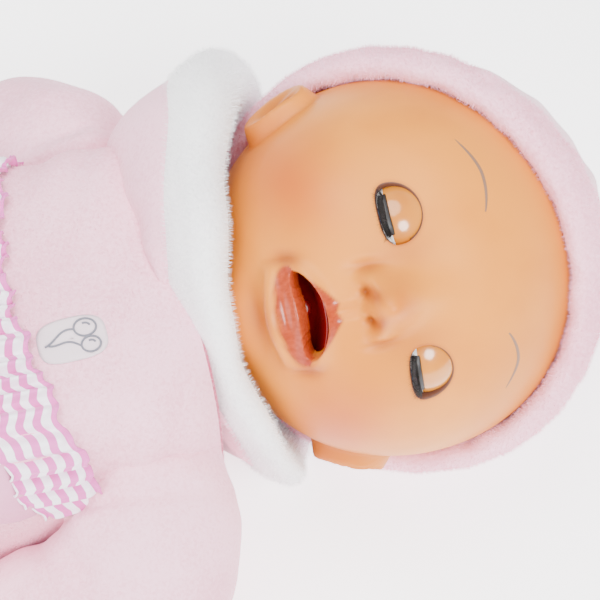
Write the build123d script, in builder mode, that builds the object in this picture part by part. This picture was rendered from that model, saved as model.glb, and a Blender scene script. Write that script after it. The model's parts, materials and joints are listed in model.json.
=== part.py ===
from build123d import *
import os
from math import asin, cos, degrees, radians, sin, sqrt

# Interactive baby doll lying on its back. Millimetres, +X towards the crown of the
# head, +Z up (the way the chest faces), so the doll's own left side is -Y.
# The origin is the centre of the doll's footprint, on the surface that it lies on.

# ---------------------------------------------------------------- driving sizes
doll_length = 456.0         # sole of the bootees to the top of the hat
side_gap = 0.3              # between pieces that touch in the cloth body

head_r = 60.0               # outside of the vinyl head
head_wall = 3.0
head_turned = 38.0          # degrees the face is turned to the doll's left
neck_offset = 6.0           # neck axis behind the middle of the head
neck_r = 18.0
neck_wall = 3.0
neck_flange_r = 21.5
neck_flange_h = 3.0

hat_fit = 0.3
hat_thick = 5.7
brim_thick = 7.2
brim_front = 4.0            # brim in front of the hat's seam plane
brim_back = 10.0            # brim behind it
hat_tilt = 53.0             # hat axis, degrees from the crown to the back of the head
hat_flat = 1.0              # how far the hat is pressed flat on the surface

eye_r = 12.5
eye_up = -5.0               # eye centre above the middle of the head
eye_out = 25.0              # eye centre from the middle plane
eye_sink = 0.5              # how far the lid stands proud of the head
eye_hole_half_w = 9.8
eye_hole_half_h = 7.5
eye_hole_up = 1.0
lid_edge = -13.9            # degrees of the lash line below the eye's axis, shut
lash_reach = 4.5
lash_half_angle = 33.0
lash_thick = 0.5
eye_pin_r = 1.2
running_gap = 0.05
cup_gap = 0.4
cup_wall = 1.6
weight_r = 4.0
weight_len = 6.0
weight_reach = 17.0
weight_lean = 12.0          # keeps a shut eye against its stop

mouth_up = -36.0
mouth_half_w = 11.5
mouth_half_h = 4.2
mouth_wall = 1.5
mouth_depth = 16.2
mouth_front = 50.2          # lip plane, forward of the middle of the head
plunger_r = 3.0
plunger_out = 2.5           # plunger standing in the mouth
plunger_travel = 2.0
mouth_switch_r = 6.0
mouth_switch_len = 9.0

torso_len = 104.0
torso_half_w = 54.0
torso_bottom_z = 3.2
torso_top_z = 92.0
torso_round = 24.0
shoulder_round = 6.0
jacket_wall = 2.9
collar_lining_thick = 4.0
collar_outer_thick = 7.5
collar_clear = 6.0          # collar outside the bare head, so that the brim can pass
collar_start = 18.0         # degrees round the head from the neck axis
collar_end = 62.0
collar_rim = 46.0           # rim plane from the middle of the head, on the neck axis
collar_lean = 16.0          # degrees the rim leans down towards the chin
neck_hole_r = 23.5
neck_hole_depth = 14.3
socket_len = 7.0

case_len = 84.0
case_width = 70.0
case_top_z = 38.0
case_split_z = 22.5
case_wall = 2.2
case_centre_x = 32.0
battery_r = 7.2
battery_len = 49.5
battery_pitch = 15.0
bay_len = 48.0
bay_width = 60.0
bay_centre = -6.0           # from the middle of the case
door_thick = 2.0
door_lip = 2.0              # door past the bay on each side
door_gap = 0.4
switch_x = 28.0             # from the middle of the case
switch_slide = 6.0
switch_knob = 5.0
case_screw_x = 37.5
case_screw_y = 30.5
screw_r = 1.4
screw_head_r = 2.8
screw_head_h = 1.6
speaker_r = 18.0
loom_r = 1.8
loom_bend = 8.0
jack_r = 3.5
jack_len = 2.2
speaker_h = 7.0

button_r = 14.0
button_h = 6.0
button_travel = 2.0
button_x = 20.0

shoulder_back = 26.0        # shoulder axis from the top of the torso
shoulder_z = 42.0
sleeve_root_r = 24.0
sleeve_cuff_r = 19.0
sleeve_len = 88.0
arm_droop = 13.0            # degrees from level, down to the hand
arm_wall = 2.6
cuff_len = 9.0
hand_len = 36.0
palm_r = 13.0

hip_root_r = 27.0
hip_side_gap = 3.0          # leg from the middle plane
trouser_ankle_r = 20.0
leg_wall = 2.5
foot_height = 60.0
foot_len = 34.0
foot_half_w = 19.0
foot_round = 9.0
knee_share = 0.42           # where the cloth thigh ends, along the trouser leg
hem_gap = 0.6

ruffle_len = 24.0
ruffle_thick = 3.0
ruffle_half_w = 50.0
ruffle_below_neck = 46.0
band_len = 10.0
motif_size = 22.0
motif_thick = 0.8

# ---------------------------------------------------------------- places worked out
hat_r = head_r + hat_fit + hat_thick
head_x = doll_length / 2 - hat_r
neck_z = hat_r - hat_flat - neck_offset * cos(radians(head_turned))
turn = radians(head_turned)
head_plane = Plane(
    origin=(head_x, -neck_offset * sin(turn), neck_z + neck_offset * cos(turn)),
    x_dir=(1, 0, 0),
    z_dir=(0, -sin(turn), cos(turn)),
)
neck_plane = Plane(origin=(head_x, 0, neck_z), x_dir=(0, 1, 0), z_dir=(1, 0, 0))

collar_in_r = head_r + collar_clear
collar_mid_r = collar_in_r + collar_lining_thick
collar_out_r = collar_mid_r + side_gap + collar_outer_thick
torso_top = head_x - collar_out_r * cos(radians(collar_start)) - 2 * side_gap - jacket_wall
torso_bottom = torso_top - torso_len
hip_x = torso_bottom - jacket_wall - hem_gap - hip_root_r
hip_y = hip_side_gap + hip_root_r
sole_x = -doll_length / 2
jacket_half_w = torso_half_w + side_gap + jacket_wall
shoulder_x = torso_top - shoulder_back
shoulder_y = jacket_half_w + 1.0 + sleeve_root_r
case_x = case_centre_x
case_bottom_z = torso_bottom_z
loom_x = case_x + 20.0
speaker_x = case_x - 16.0
door_x = case_x + bay_centre - bay_len / 2 - door_lip
door_y = bay_width / 2 + door_lip
eye_seat = head_r + eye_sink - eye_r      # eye centre from the middle of the head
eye_forward = sqrt(eye_seat**2 - (eye_up * eye_seat / head_r) ** 2 - (eye_out * eye_seat / head_r) ** 2)

os.makedirs("parts", exist_ok=True)


def save(builder, label):
    """Names a finished piece and writes it as its own STEP file."""
    builder.part.label = label
    export_step(builder.part, f"parts/{label}.step")


def in_head(x, y, z, x_dir=(1, 0, 0), z_dir=(0, 0, 1)):
    """A plane given in the head's own frame: x to the crown, z out of the face."""
    local = Plane(origin=(x, y, z), x_dir=x_dir, z_dir=z_dir)
    return Plane(head_plane.location * local.location)


def eye_frame(side):
    """The eye's own plane: origin at the ball's centre, z looking out, x to the crown."""
    share = eye_seat / head_r
    centre = Vector(eye_up * share, side * eye_out * share, eye_forward)
    return in_head(*centre, x_dir=(1, 0, -centre.X / centre.Z), z_dir=tuple(centre))


def turned(frame, degrees_up):
    """A plane turned about the frame's y axis, its z raised towards the frame's x."""
    return Plane(frame.location * Location((0, 0, 0), (0, degrees_up, 0)))


# ---------------------------------------------------------------- the vinyl head
def make_head_shell():
    with BuildPart(head_plane) as shell:
        Sphere(head_r)
        with Locations((-17, 0, head_r - 3)):
            Sphere(7.0)
        for side in (-1, 1):
            with Locations((-14, side * (head_r - 2), 6)):
                Sphere(8.0)
        neck_from = -(head_x - torso_top) - socket_len - side_gap
        neck_to = -head_r + 12
        neck_len = neck_to - neck_from
        with Locations(Location((neck_to - neck_len / 2, 0, -neck_offset), (0, 90, 0))):
            Cylinder(neck_r, neck_len)
        with Locations(Location((neck_from - neck_flange_h / 2, 0, -neck_offset), (0, 90, 0))):
            Cylinder(neck_flange_r, neck_flange_h)
        Sphere(head_r - head_wall, mode=Mode.SUBTRACT)
        bore_len = neck_len + neck_flange_h + 2
        with Locations(Location((neck_to - bore_len / 2 + 1, 0, -neck_offset), (0, 90, 0))):
            Cylinder(neck_r - neck_wall, bore_len, mode=Mode.SUBTRACT)
        for side in (-1, 1):
            with BuildSketch(eye_frame(side).offset(eye_r * 0.4)):
                with Locations((eye_hole_up, 0)):
                    Ellipse(eye_hole_half_h, eye_hole_half_w)
            extrude(amount=2 * eye_r, mode=Mode.SUBTRACT)
            share = eye_seat / head_r
            with Locations((eye_up * share, side * eye_out * share, eye_forward)):
                Sphere(eye_r + cup_gap, mode=Mode.SUBTRACT)
        with BuildSketch(in_head(mouth_up, 0, mouth_front - mouth_depth)):
            Ellipse(mouth_half_h + mouth_wall + 0.1, mouth_half_w + mouth_wall + 0.1)
        extrude(amount=2 * mouth_depth, mode=Mode.SUBTRACT)
    save(shell, "head_shell")


def make_neck_plug():
    plug_x = -(head_x - torso_top) - socket_len - side_gap - neck_flange_h
    with BuildPart(in_head(plug_x + 1.5, 0, -neck_offset, x_dir=(0, 1, 0), z_dir=(1, 0, 0))) as plug:
        Cylinder(neck_r - neck_wall - 0.1, 3.0)
        Hole(3.6)
    save(plug, "neck_plug")


def make_mouth():
    back = mouth_front - mouth_depth
    with BuildPart() as cup:
        with BuildSketch(in_head(mouth_up, 0, back)):
            Ellipse(mouth_half_h + mouth_wall, mouth_half_w + mouth_wall)
        extrude(amount=mouth_depth)
        with BuildSketch(in_head(mouth_up, 0, back + mouth_wall)):
            Ellipse(mouth_half_h, mouth_half_w)
        extrude(amount=mouth_depth, mode=Mode.SUBTRACT)
        with BuildSketch(in_head(mouth_up, 0, back - 1)):
            Circle(plunger_r + running_gap)
        extrude(amount=mouth_wall + 2, mode=Mode.SUBTRACT)
    save(cup, "mouth_cup")
    with BuildPart() as switch:
        with BuildSketch(in_head(mouth_up, 0, back)):
            Circle(mouth_switch_r)
        extrude(amount=-mouth_switch_len)
        with BuildSketch(in_head(mouth_up, 0, back)):
            Circle(plunger_r + running_gap)
        extrude(amount=-(mouth_switch_len - mouth_wall), mode=Mode.SUBTRACT)
    save(switch, "mouth_switch_body")
    face_axis = Axis(head_plane.origin, head_plane.z_dir)
    plunger_back = mouth_switch_len - mouth_wall - plunger_travel - 1.5
    with BuildPart() as plunger:
        with BuildSketch(in_head(mouth_up, 0, back - plunger_back)):
            Circle(plunger_r)
        extrude(amount=plunger_back + mouth_wall + plunger_out)
        fillet(plunger.faces().sort_by(face_axis)[-1].edges(), 1.2)
    save(plunger, "mouth_plunger")
    with BuildPart() as spring:
        with BuildSketch(in_head(mouth_up, 0, back - plunger_back - 0.1)):
            Circle(plunger_r - 0.6)
            Circle(plunger_r - 1.4, mode=Mode.SUBTRACT)
        extrude(amount=-(plunger_travel + 1.3))
    save(spring, "mouth_spring")


def make_eye(side, name):
    frame = eye_frame(side)
    lash_line = turned(frame, lid_edge)
    weight_dir = turned(frame, 180 + weight_lean)
    with BuildPart(frame) as ball:
        Sphere(eye_r)
        with Locations(Location((0, 0, 0), (90, 0, 0))):
            Cylinder(eye_pin_r + running_gap, 3 * eye_r, mode=Mode.SUBTRACT)
        with BuildSketch(weight_dir.offset(eye_r - 4)):
            Circle(1.55)
        extrude(amount=6, mode=Mode.SUBTRACT)
    save(ball, f"{name}_eyeball")
    with BuildPart() as lash:
        with BuildSketch(Plane(origin=frame.origin, x_dir=lash_line.z_dir, z_dir=lash_line.x_dir)):
            Circle(eye_r + lash_reach)
            Circle(eye_r, mode=Mode.SUBTRACT)
            with BuildLine():
                far = 3 * eye_r
                Polyline(
                    (0, 0),
                    (far * cos(radians(lash_half_angle)), far * sin(radians(lash_half_angle))),
                    (far * cos(radians(lash_half_angle)), -far * sin(radians(lash_half_angle))),
                    close=True,
                )
            make_face(mode=Mode.INTERSECT)
        extrude(amount=lash_thick / 2, both=True)
    save(lash, f"{name}_eyelash")
    with BuildPart(frame) as pin:
        with Locations(Location((0, 0, 0), (90, 0, 0))):
            Cylinder(eye_pin_r, 2 * (eye_r + cup_gap + cup_wall))
    with BuildPart(frame) as cup:
        Sphere(eye_r + cup_gap + cup_wall)
        Sphere(eye_r + cup_gap, mode=Mode.SUBTRACT)
        with Locations((0, 0, -(eye_r + 2) - 5)):
            Box(6 * eye_r, 6 * eye_r, 2 * (eye_r + 2), mode=Mode.SUBTRACT)
        with Locations((0, 0, -eye_seat)):
            Sphere(head_r - head_wall - 0.1, mode=Mode.INTERSECT)
        with Locations(Location((0, 0, 0), (90, 0, 0))):
            Cylinder(eye_pin_r, 6 * eye_r, mode=Mode.SUBTRACT)
    save(pin, f"{name}_eye_pin")
    save(cup, f"{name}_eye_cup")
    with BuildPart() as weight:
        with BuildSketch(weight_dir.offset(eye_r - 4)):
            Circle(1.5)
        extrude(amount=weight_reach - eye_r + 4)
        with BuildSketch(weight_dir.offset(weight_reach)):
            Circle(weight_r)
        extrude(amount=weight_len)
    save(weight, f"{name}_eye_weight")


# ---------------------------------------------------------------- the hat
def make_hat():
    axis = (cos(radians(hat_tilt)), 0, -sin(radians(hat_tilt)))
    hat_plane = in_head(0, 0, 0, x_dir=(0, 1, 0), z_dir=axis)
    inner = head_r + hat_fit
    rest_box = hat_plane.location.inverse() * Location((head_x, 0, -hat_r))
    with BuildPart(hat_plane) as brim:
        with Locations((0, 0, (brim_back - brim_front) / 2)):
            Cylinder(inner + brim_thick, brim_front + brim_back)
        fillet(brim.edges(), min(brim_thick, (brim_front + brim_back) / 2) * 0.45)
        Cylinder(inner, 4 * brim_back, mode=Mode.SUBTRACT)
        with Locations(rest_box):
            Box(8 * hat_r, 8 * hat_r, 2 * hat_r, mode=Mode.SUBTRACT)
    save(brim, "hat_brim")
    cap_from = brim_back + 0.1
    with BuildPart(hat_plane) as crown:
        Sphere(hat_r)
        Sphere(inner, mode=Mode.SUBTRACT)
        with Locations((0, 0, cap_from - hat_r)):
            Box(4 * hat_r, 4 * hat_r, 2 * hat_r, mode=Mode.SUBTRACT)
        with Locations(rest_box):
            Box(8 * hat_r, 8 * hat_r, 2 * hat_r, mode=Mode.SUBTRACT)
    save(crown, "hat_crown")


# ---------------------------------------------------------------- the cloth body
def torso_block(grow, x_from, x_to):
    """A rounded block that follows the torso, grow outside it, between two x planes."""
    low = torso_bottom_z - grow
    high = torso_top_z + grow
    profile = Plane(origin=(x_from, 0, (low + high) / 2), x_dir=(0, 1, 0), z_dir=(1, 0, 0))
    with BuildSketch(profile, mode=Mode.PRIVATE) as section:
        RectangleRounded(2 * (torso_half_w + grow), high - low, torso_round + grow)
    return extrude(section.sketch, amount=x_to - x_from, mode=Mode.PRIVATE)


def make_torso():
    with BuildPart() as torso:
        add(torso_block(0, torso_bottom, torso_top))
        fillet(torso.faces().sort_by(Axis.X)[-1].edges(), shoulder_round)
        fillet(torso.faces().sort_by(Axis.X)[0].edges(), 8)
        web_len = torso_bottom - hip_x
        with Locations((hip_x + web_len / 2 + 4, 0, hip_root_r)):
            Box(web_len + 8, 2 * hip_side_gap - 0.8, hip_root_r)
        with Locations(Location((hip_x, 0, hip_root_r), (90, 0, 0))):
            Cylinder(hip_root_r / 2, 2 * hip_side_gap - 0.8)
        with BuildSketch(neck_plane.offset(torso_top - head_x + 1)):
            Circle(neck_hole_r)
        extrude(amount=-neck_hole_depth - 1, mode=Mode.SUBTRACT)
        with Locations((case_x, 0, (case_bottom_z + case_top_z) / 2 - 2)):
            pocket = side_gap * 2
            Box(
                case_len + pocket,
                case_width + pocket,
                case_top_z - case_bottom_z + 4 + pocket,
                mode=Mode.SUBTRACT,
            )
        with BuildSketch(Plane.XY.offset(torso_top_z + 1)):
            with Locations((button_x, 0)):
                Circle(button_r + 2.6)
        extrude(amount=-(button_h + button_travel + 6 + 1), mode=Mode.SUBTRACT)
        add(loom_run(loom_r + 0.4, case_top_z - 1, torso_top - neck_hole_depth + 1), mode=Mode.SUBTRACT)
    save(torso, "torso_body")


def loom_run(radius, from_z, to_x):
    """The round loom, up out of the module and along to the neck."""
    with BuildPart(mode=Mode.PRIVATE) as run:
        with BuildLine() as route:
            FilletPolyline((loom_x, 0, from_z), (loom_x, 0, neck_z), (to_x, 0, neck_z), radius=loom_bend)
        with BuildSketch(Plane(origin=route.line @ 0, z_dir=route.line % 0)):
            Circle(radius)
        sweep(path=route.line)
    return run.part


def make_neck_fittings():
    with BuildPart() as socket:
        with BuildSketch(neck_plane.offset(torso_top - head_x)):
            Circle(neck_hole_r - 0.2)
            Circle(neck_r + 0.3, mode=Mode.SUBTRACT)
        extrude(amount=-socket_len)
    save(socket, "neck_socket")
    with BuildPart() as tie:
        with BuildSketch(neck_plane.offset(torso_top - head_x + 0.2)):
            Circle(neck_r + 3.2)
            Circle(neck_r + 0.6, mode=Mode.SUBTRACT)
        extrude(amount=jacket_wall)
    save(tie, "neck_tie")
    plug_from = torso_top - socket_len - side_gap - neck_flange_h
    with BuildPart() as loom:
        add(loom_run(loom_r, case_top_z - case_wall, plug_from - jack_len))
        with BuildSketch(neck_plane.offset(plug_from - jack_len - head_x)):
            Circle(jack_r)
        extrude(amount=jack_len + neck_flange_h)
    save(loom, "wire_loom")


def make_tummy_button():
    floor_z = torso_top_z - button_h - button_travel - 6
    with BuildPart() as cup:
        with BuildSketch(Plane.XY.offset(floor_z + 0.1)):
            with Locations((button_x, 0)):
                Circle(button_r + 2.4)
        extrude(amount=button_h + button_travel + 5.6)
        with BuildSketch(Plane.XY.offset(floor_z + 1.6)):
            with Locations((button_x, 0)):
                Circle(button_r + 0.3)
        extrude(amount=button_h + button_travel + 8, mode=Mode.SUBTRACT)
    save(cup, "tummy_switch_body")
    with BuildPart() as cap:
        with BuildSketch(Plane.XY.offset(torso_top_z - button_h)):
            with Locations((button_x, 0)):
                Circle(button_r)
        extrude(amount=button_h)
        fillet(cap.faces().sort_by(Axis.Z)[-1].edges(), 1.5)
    save(cap, "tummy_button")
    with BuildPart() as spring:
        with BuildSketch(Plane.XY.offset(floor_z + 1.8)):
            with Locations((button_x, 0)):
                Circle(6.0)
                Circle(4.8, mode=Mode.SUBTRACT)
        extrude(amount=torso_top_z - button_h - floor_z - 2.0)
    save(spring, "tummy_spring")


# ---------------------------------------------------------------- the sound module
def make_case():
    bay_x = case_x + bay_centre
    back_h = case_split_z - case_bottom_z
    bay_depth = back_h - case_wall
    with BuildPart() as back:
        with Locations((case_x, 0, case_bottom_z + back_h / 2)):
            Box(case_len, case_width, back_h)
        fillet(back.edges().filter_by(Axis.Z), 5)
        with Locations((bay_x, 0, case_bottom_z + bay_depth / 2 - 1)):
            Box(bay_len, bay_width, bay_depth + 2, mode=Mode.SUBTRACT)
        recess_len = bay_len + 2 * (door_lip + door_gap)
        with Locations((bay_x, 0, case_bottom_z + (door_thick + 0.2) / 2 - 0.5)):
            Box(recess_len, 2 * (door_y + door_gap), door_thick + 1.2, mode=Mode.SUBTRACT)
        with Locations((case_x + switch_x, 0, case_bottom_z + 4)):
            slot = (switch_knob + 0.6, switch_knob + switch_slide + 0.8, 10)
            Box(*slot, mode=Mode.SUBTRACT)
        with Locations((case_x + switch_x, 0, case_bottom_z + 9)):
            Box(switch_knob + 5, switch_knob + switch_slide + 5, 4, mode=Mode.SUBTRACT)
        with BuildSketch(Plane.XY.offset(case_bottom_z)):
            with Locations((case_x, 0)):
                with GridLocations(2 * case_screw_x, 2 * case_screw_y, 2, 2):
                    Circle(screw_r + 0.1)
        extrude(amount=back_h, mode=Mode.SUBTRACT)
        with BuildSketch(Plane.XY.offset(case_bottom_z)):
            with Locations((case_x, 0)):
                with GridLocations(2 * case_screw_x, 2 * case_screw_y, 2, 2):
                    Circle(screw_head_r + 0.2)
        extrude(amount=screw_head_h + 0.4, mode=Mode.SUBTRACT)
        with BuildSketch(Plane.XY.offset(case_bottom_z)):
            with Locations((door_x + bay_len + 2 * door_lip + door_gap + 1.0, 0)):
                Circle(3.6)
        extrude(amount=7.0, mode=Mode.SUBTRACT)
    save(back, "module_back_case")
    front_h = case_top_z - case_split_z
    with BuildPart() as front:
        with Locations((case_x, 0, case_split_z + front_h / 2)):
            Box(case_len, case_width, front_h)
        fillet(front.edges().filter_by(Axis.Z), 5)
        with Locations((case_x, 0, case_split_z + (front_h - case_wall) / 2 - 1)):
            Box(
                case_len - 2 * case_wall,
                case_width - 2 * case_wall,
                front_h - case_wall + 2,
                mode=Mode.SUBTRACT,
            )
        with BuildSketch(Plane.XY.offset(case_split_z)):
            with Locations((case_x, 0)):
                with GridLocations(2 * case_screw_x, 2 * case_screw_y, 2, 2):
                    Circle(3.2)
        extrude(amount=front_h)
        with BuildSketch(Plane.XY.offset(case_split_z)):
            with Locations((case_x, 0)):
                with GridLocations(2 * case_screw_x, 2 * case_screw_y, 2, 2):
                    Circle(screw_r + 0.1)
        extrude(amount=10, mode=Mode.SUBTRACT)
        with BuildSketch(Plane.XY.offset(case_top_z - case_wall - 1)):
            with Locations((speaker_x, 0)):
                for ring_r, count in ((5.5, 6), (11.0, 12)):
                    with PolarLocations(ring_r, count):
                        Circle(1.2)
        extrude(amount=case_wall + 2, mode=Mode.SUBTRACT)
        with BuildSketch(Plane.XY.offset(case_top_z - case_wall - 1)):
            with Locations((loom_x, 0)):
                Circle(loom_r + 0.3)
        extrude(amount=case_wall + 2, mode=Mode.SUBTRACT)
    save(front, "module_front_case")
    with BuildPart() as screws:
        with BuildSketch(Plane.XY.offset(case_bottom_z + 0.3)):
            with Locations((case_x, 0)):
                with GridLocations(2 * case_screw_x, 2 * case_screw_y, 2, 2):
                    Circle(screw_head_r)
        extrude(amount=screw_head_h)
        with BuildSketch(Plane.XY.offset(case_bottom_z + 0.3 + screw_head_h)):
            with Locations((case_x, 0)):
                with GridLocations(2 * case_screw_x, 2 * case_screw_y, 2, 2):
                    Circle(screw_r)
        extrude(amount=back_h + 6)
    save(screws, "case_screws")


def make_battery_door():
    length = bay_len + 2 * door_lip
    mid_z = case_bottom_z + door_thick / 2
    with BuildPart() as door:
        with Locations((door_x + length / 2 + door_thick / 4, 0, mid_z)):
            Box(length - door_thick / 2, 2 * door_y, door_thick)
        with Locations(Location((door_x + door_thick / 2, 0, mid_z), (90, 0, 0))):
            Cylinder(door_thick / 2, 2 * door_y)
        with Locations((door_x + length + 1.0, 0, mid_z)):
            Cylinder(3.2, door_thick)
        with Locations((door_x + length + 0.6, 0, mid_z)):
            Cylinder(screw_r + 0.1, door_thick, mode=Mode.SUBTRACT)
    save(door, "battery_door")
    with BuildPart() as screw:
        with Locations((door_x + length + 0.6, 0, case_bottom_z - 0.5)):
            Cylinder(screw_head_r, 1.0)
        with Locations((door_x + length + 0.6, 0, case_bottom_z + 2.0)):
            Cylinder(screw_r, 4.0)
    save(screw, "door_screw")


def make_batteries():
    bay_x = case_x + bay_centre
    battery_z = case_bottom_z + door_thick + 0.4 + battery_r
    centres = [(bay_x + i * battery_pitch, 0, battery_z) for i in (-1, 0, 1)]
    with BuildPart() as cells:
        for x, _, z in centres:
            with Locations(Location((x, 0.5, z), (90, 0, 0))):
                Cylinder(battery_r, battery_len)
            with Locations(Location((x, 0.5 + battery_len / 2 + 0.5, z), (90, 0, 0))):
                Cylinder(2.7, 1.0)
    save(cells, "batteries")
    with BuildPart() as springs:
        for x, _, z in centres:
            tip = 0.5 - battery_len / 2 - 0.05
            root = -bay_width / 2 + 0.6
            with Locations(Location((x, (tip + root) / 2, z), (90, 0, 0))):
                Cone(5.5, 3.0, tip - root)
    save(springs, "battery_springs")
    with BuildPart() as plates:
        for x, _, z in centres:
            for y in (-bay_width / 2 + 0.3, bay_width / 2 - 0.3):
                with Locations((x, y, z)):
                    Box(10, 0.5, 11)
    save(plates, "battery_contacts")


def make_electronics():
    board_z = case_split_z + 1.0
    with BuildPart() as board:
        with Locations((case_x, 0, board_z + 0.8)):
            Box(case_len - 22, case_width - 12, 1.6)
    save(board, "circuit_board")
    with BuildPart() as chips:
        for x, y, size in ((22, 12, 9), (22, -14, 7), (30, 0, 5)):
            with Locations((case_x + x - 8, y, board_z + 1.65 + 0.9)):
                Box(size, size, 1.8)
    save(chips, "board_chips")
    top = case_top_z - case_wall - 0.1
    with BuildPart() as frame:
        with BuildSketch(Plane.XY.offset(top)):
            with Locations((speaker_x, 0)):
                Circle(speaker_r)
        extrude(amount=-2.0)
        with BuildSketch(Plane.XY.offset(top - 2.0)):
            with Locations((speaker_x, 0)):
                Circle(speaker_r * 0.55)
        extrude(amount=-(speaker_h - 2.0))
        with BuildSketch(Plane.XY.offset(top)):
            with Locations((speaker_x, 0)):
                Circle(speaker_r - 2)
        extrude(amount=-1.5, mode=Mode.SUBTRACT)
    save(frame, "speaker")
    with BuildPart() as cone:
        with BuildSketch(Plane.XY.offset(top - 0.3)):
            with Locations((speaker_x, 0)):
                Circle(speaker_r - 2.2)
        extrude(amount=-1.0)
    save(cone, "speaker_cone")
    with BuildPart() as knob:
        rest_y = -switch_slide / 2
        with Locations((case_x + switch_x, rest_y, case_bottom_z + 3.6)):
            Box(switch_knob, switch_knob, 9.0)
        with Locations((case_x + switch_x, rest_y, case_bottom_z + 9.0)):
            Box(switch_knob + 3, switch_knob + 3, 3.0)
    save(knob, "power_switch_knob")


# ---------------------------------------------------------------- the jacket
def make_jacket():
    hem = torso_bottom - jacket_wall
    top = torso_top + side_gap + jacket_wall
    with BuildPart() as jacket:
        add(torso_block(side_gap + jacket_wall, hem, top))
        fillet(jacket.faces().sort_by(Axis.X)[-1].edges(), shoulder_round)
        with BuildPart(mode=Mode.PRIVATE) as inside:
            add(torso_block(side_gap, hem - 1, torso_top + side_gap))
            fillet(inside.faces().sort_by(Axis.X)[-1].edges(), shoulder_round)
        add(inside.part, mode=Mode.SUBTRACT)
        with BuildSketch(neck_plane.offset(top - head_x + 1)):
            Circle(neck_r + 4)
        extrude(amount=-20, mode=Mode.SUBTRACT)
        with Locations((case_x, 0, 0)):
            Box(case_len + 6, case_width + 6, 20, mode=Mode.SUBTRACT)
    save(jacket, "jacket_body")


def make_collar():
    """Two rings round the neck axis that follow the head, one inside the other."""
    layers = (
        ("collar_lining", collar_in_r, collar_mid_r),
        ("collar_shell", collar_mid_r + side_gap, collar_out_r),
    )
    rise = radians(collar_lean)
    rim_plane = Plane(
        origin=(head_x - collar_rim, 0, neck_z),
        x_dir=(0, cos(turn), sin(turn)),
        z_dir=(cos(rise), -sin(rise) * sin(turn), sin(rise) * cos(turn)),
    )
    for label, inner, outer in layers:
        with BuildPart() as collar:
            with BuildSketch(Plane(origin=(head_x, 0, neck_z), x_dir=(1, 0, 0), z_dir=(0, -1, 0))):
                with BuildLine():
                    first = 180 - collar_end
                    span = collar_end - collar_start
                    middle = (0, neck_offset)
                    out_arc = CenterArc(middle, outer, first, span)
                    in_arc = CenterArc(middle, inner, first, span)
                    Line(out_arc @ 0, in_arc @ 0)
                    Line(out_arc @ 1, in_arc @ 1)
                make_face()
            revolve(axis=Axis((head_x, 0, neck_z), (1, 0, 0)), revolution_arc=360)
            with Locations((head_x, 0, -collar_out_r)):
                Box(4 * collar_out_r, 4 * collar_out_r, 2 * collar_out_r, mode=Mode.SUBTRACT)
            split(bisect_by=rim_plane, keep=Keep.BOTTOM)
        save(collar, label)


def make_front_trim():
    """The gathered stripe ruffle, the plain band under it and the sewn motif."""
    start = torso_top - ruffle_below_neck
    layers = (
        ("chest_ruffle", start - ruffle_len, start, ruffle_thick),
        ("waist_band", start - ruffle_len - 0.2 - band_len, start - ruffle_len - 0.2, ruffle_thick * 0.5),
    )
    base = side_gap + jacket_wall
    for label, x_from, x_to, thick in layers:
        with BuildPart() as trim:
            add(torso_block(base + 0.2 + thick, x_from, x_to))
            add(torso_block(base + 0.2, x_from - 1, x_to + 1), mode=Mode.SUBTRACT)
            with Locations(((x_from + x_to) / 2, 0, torso_top_z + thick)):
                Box(2 * ruffle_len, 2 * ruffle_half_w, torso_round * 1.6, mode=Mode.INTERSECT)
        save(trim, label)
    with BuildPart() as motif:
        with BuildSketch(Plane.XY.offset(torso_top_z + base + 0.1)):
            with Locations((torso_top - ruffle_below_neck / 2 - 4, -20)):
                RectangleRounded(motif_size, motif_size * 0.7, 3)
        extrude(amount=motif_thick)
    save(motif, "chest_motif")


# ---------------------------------------------------------------- limbs
def limb(plane, root_r, end_r, length, start=None):
    """A round limb along the plane's z axis: a ball at its origin running to a cone."""
    lean = asin((root_r - end_r) / length)
    meet = (root_r * cos(lean), root_r * sin(lean))
    with BuildPart(mode=Mode.PRIVATE) as made:
        with BuildSketch(Plane(origin=plane.origin, x_dir=plane.x_dir, z_dir=-plane.y_dir)):
            with BuildLine():
                Polyline((0, -root_r), (0, length), (end_r, length), meet)
                ThreePointArc(meet, (root_r * cos(radians(-40)), root_r * sin(radians(-40))), (0, -root_r))
            make_face()
        revolve(axis=Axis(plane.origin, plane.z_dir), revolution_arc=360)
        if start is not None:
            split(bisect_by=plane.offset(start), keep=Keep.TOP)
    return made.part


def arm_plane(side):
    droop = radians(arm_droop)
    return Plane(
        origin=(shoulder_x, side * shoulder_y, shoulder_z),
        x_dir=(0, 1, 0),
        z_dir=(-cos(droop), 0, -sin(droop)),
    )


def leg_plane(side):
    return Plane(origin=(hip_x, side * hip_y, hip_root_r), x_dir=(0, 1, 0), z_dir=(-1, 0, 0))


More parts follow.
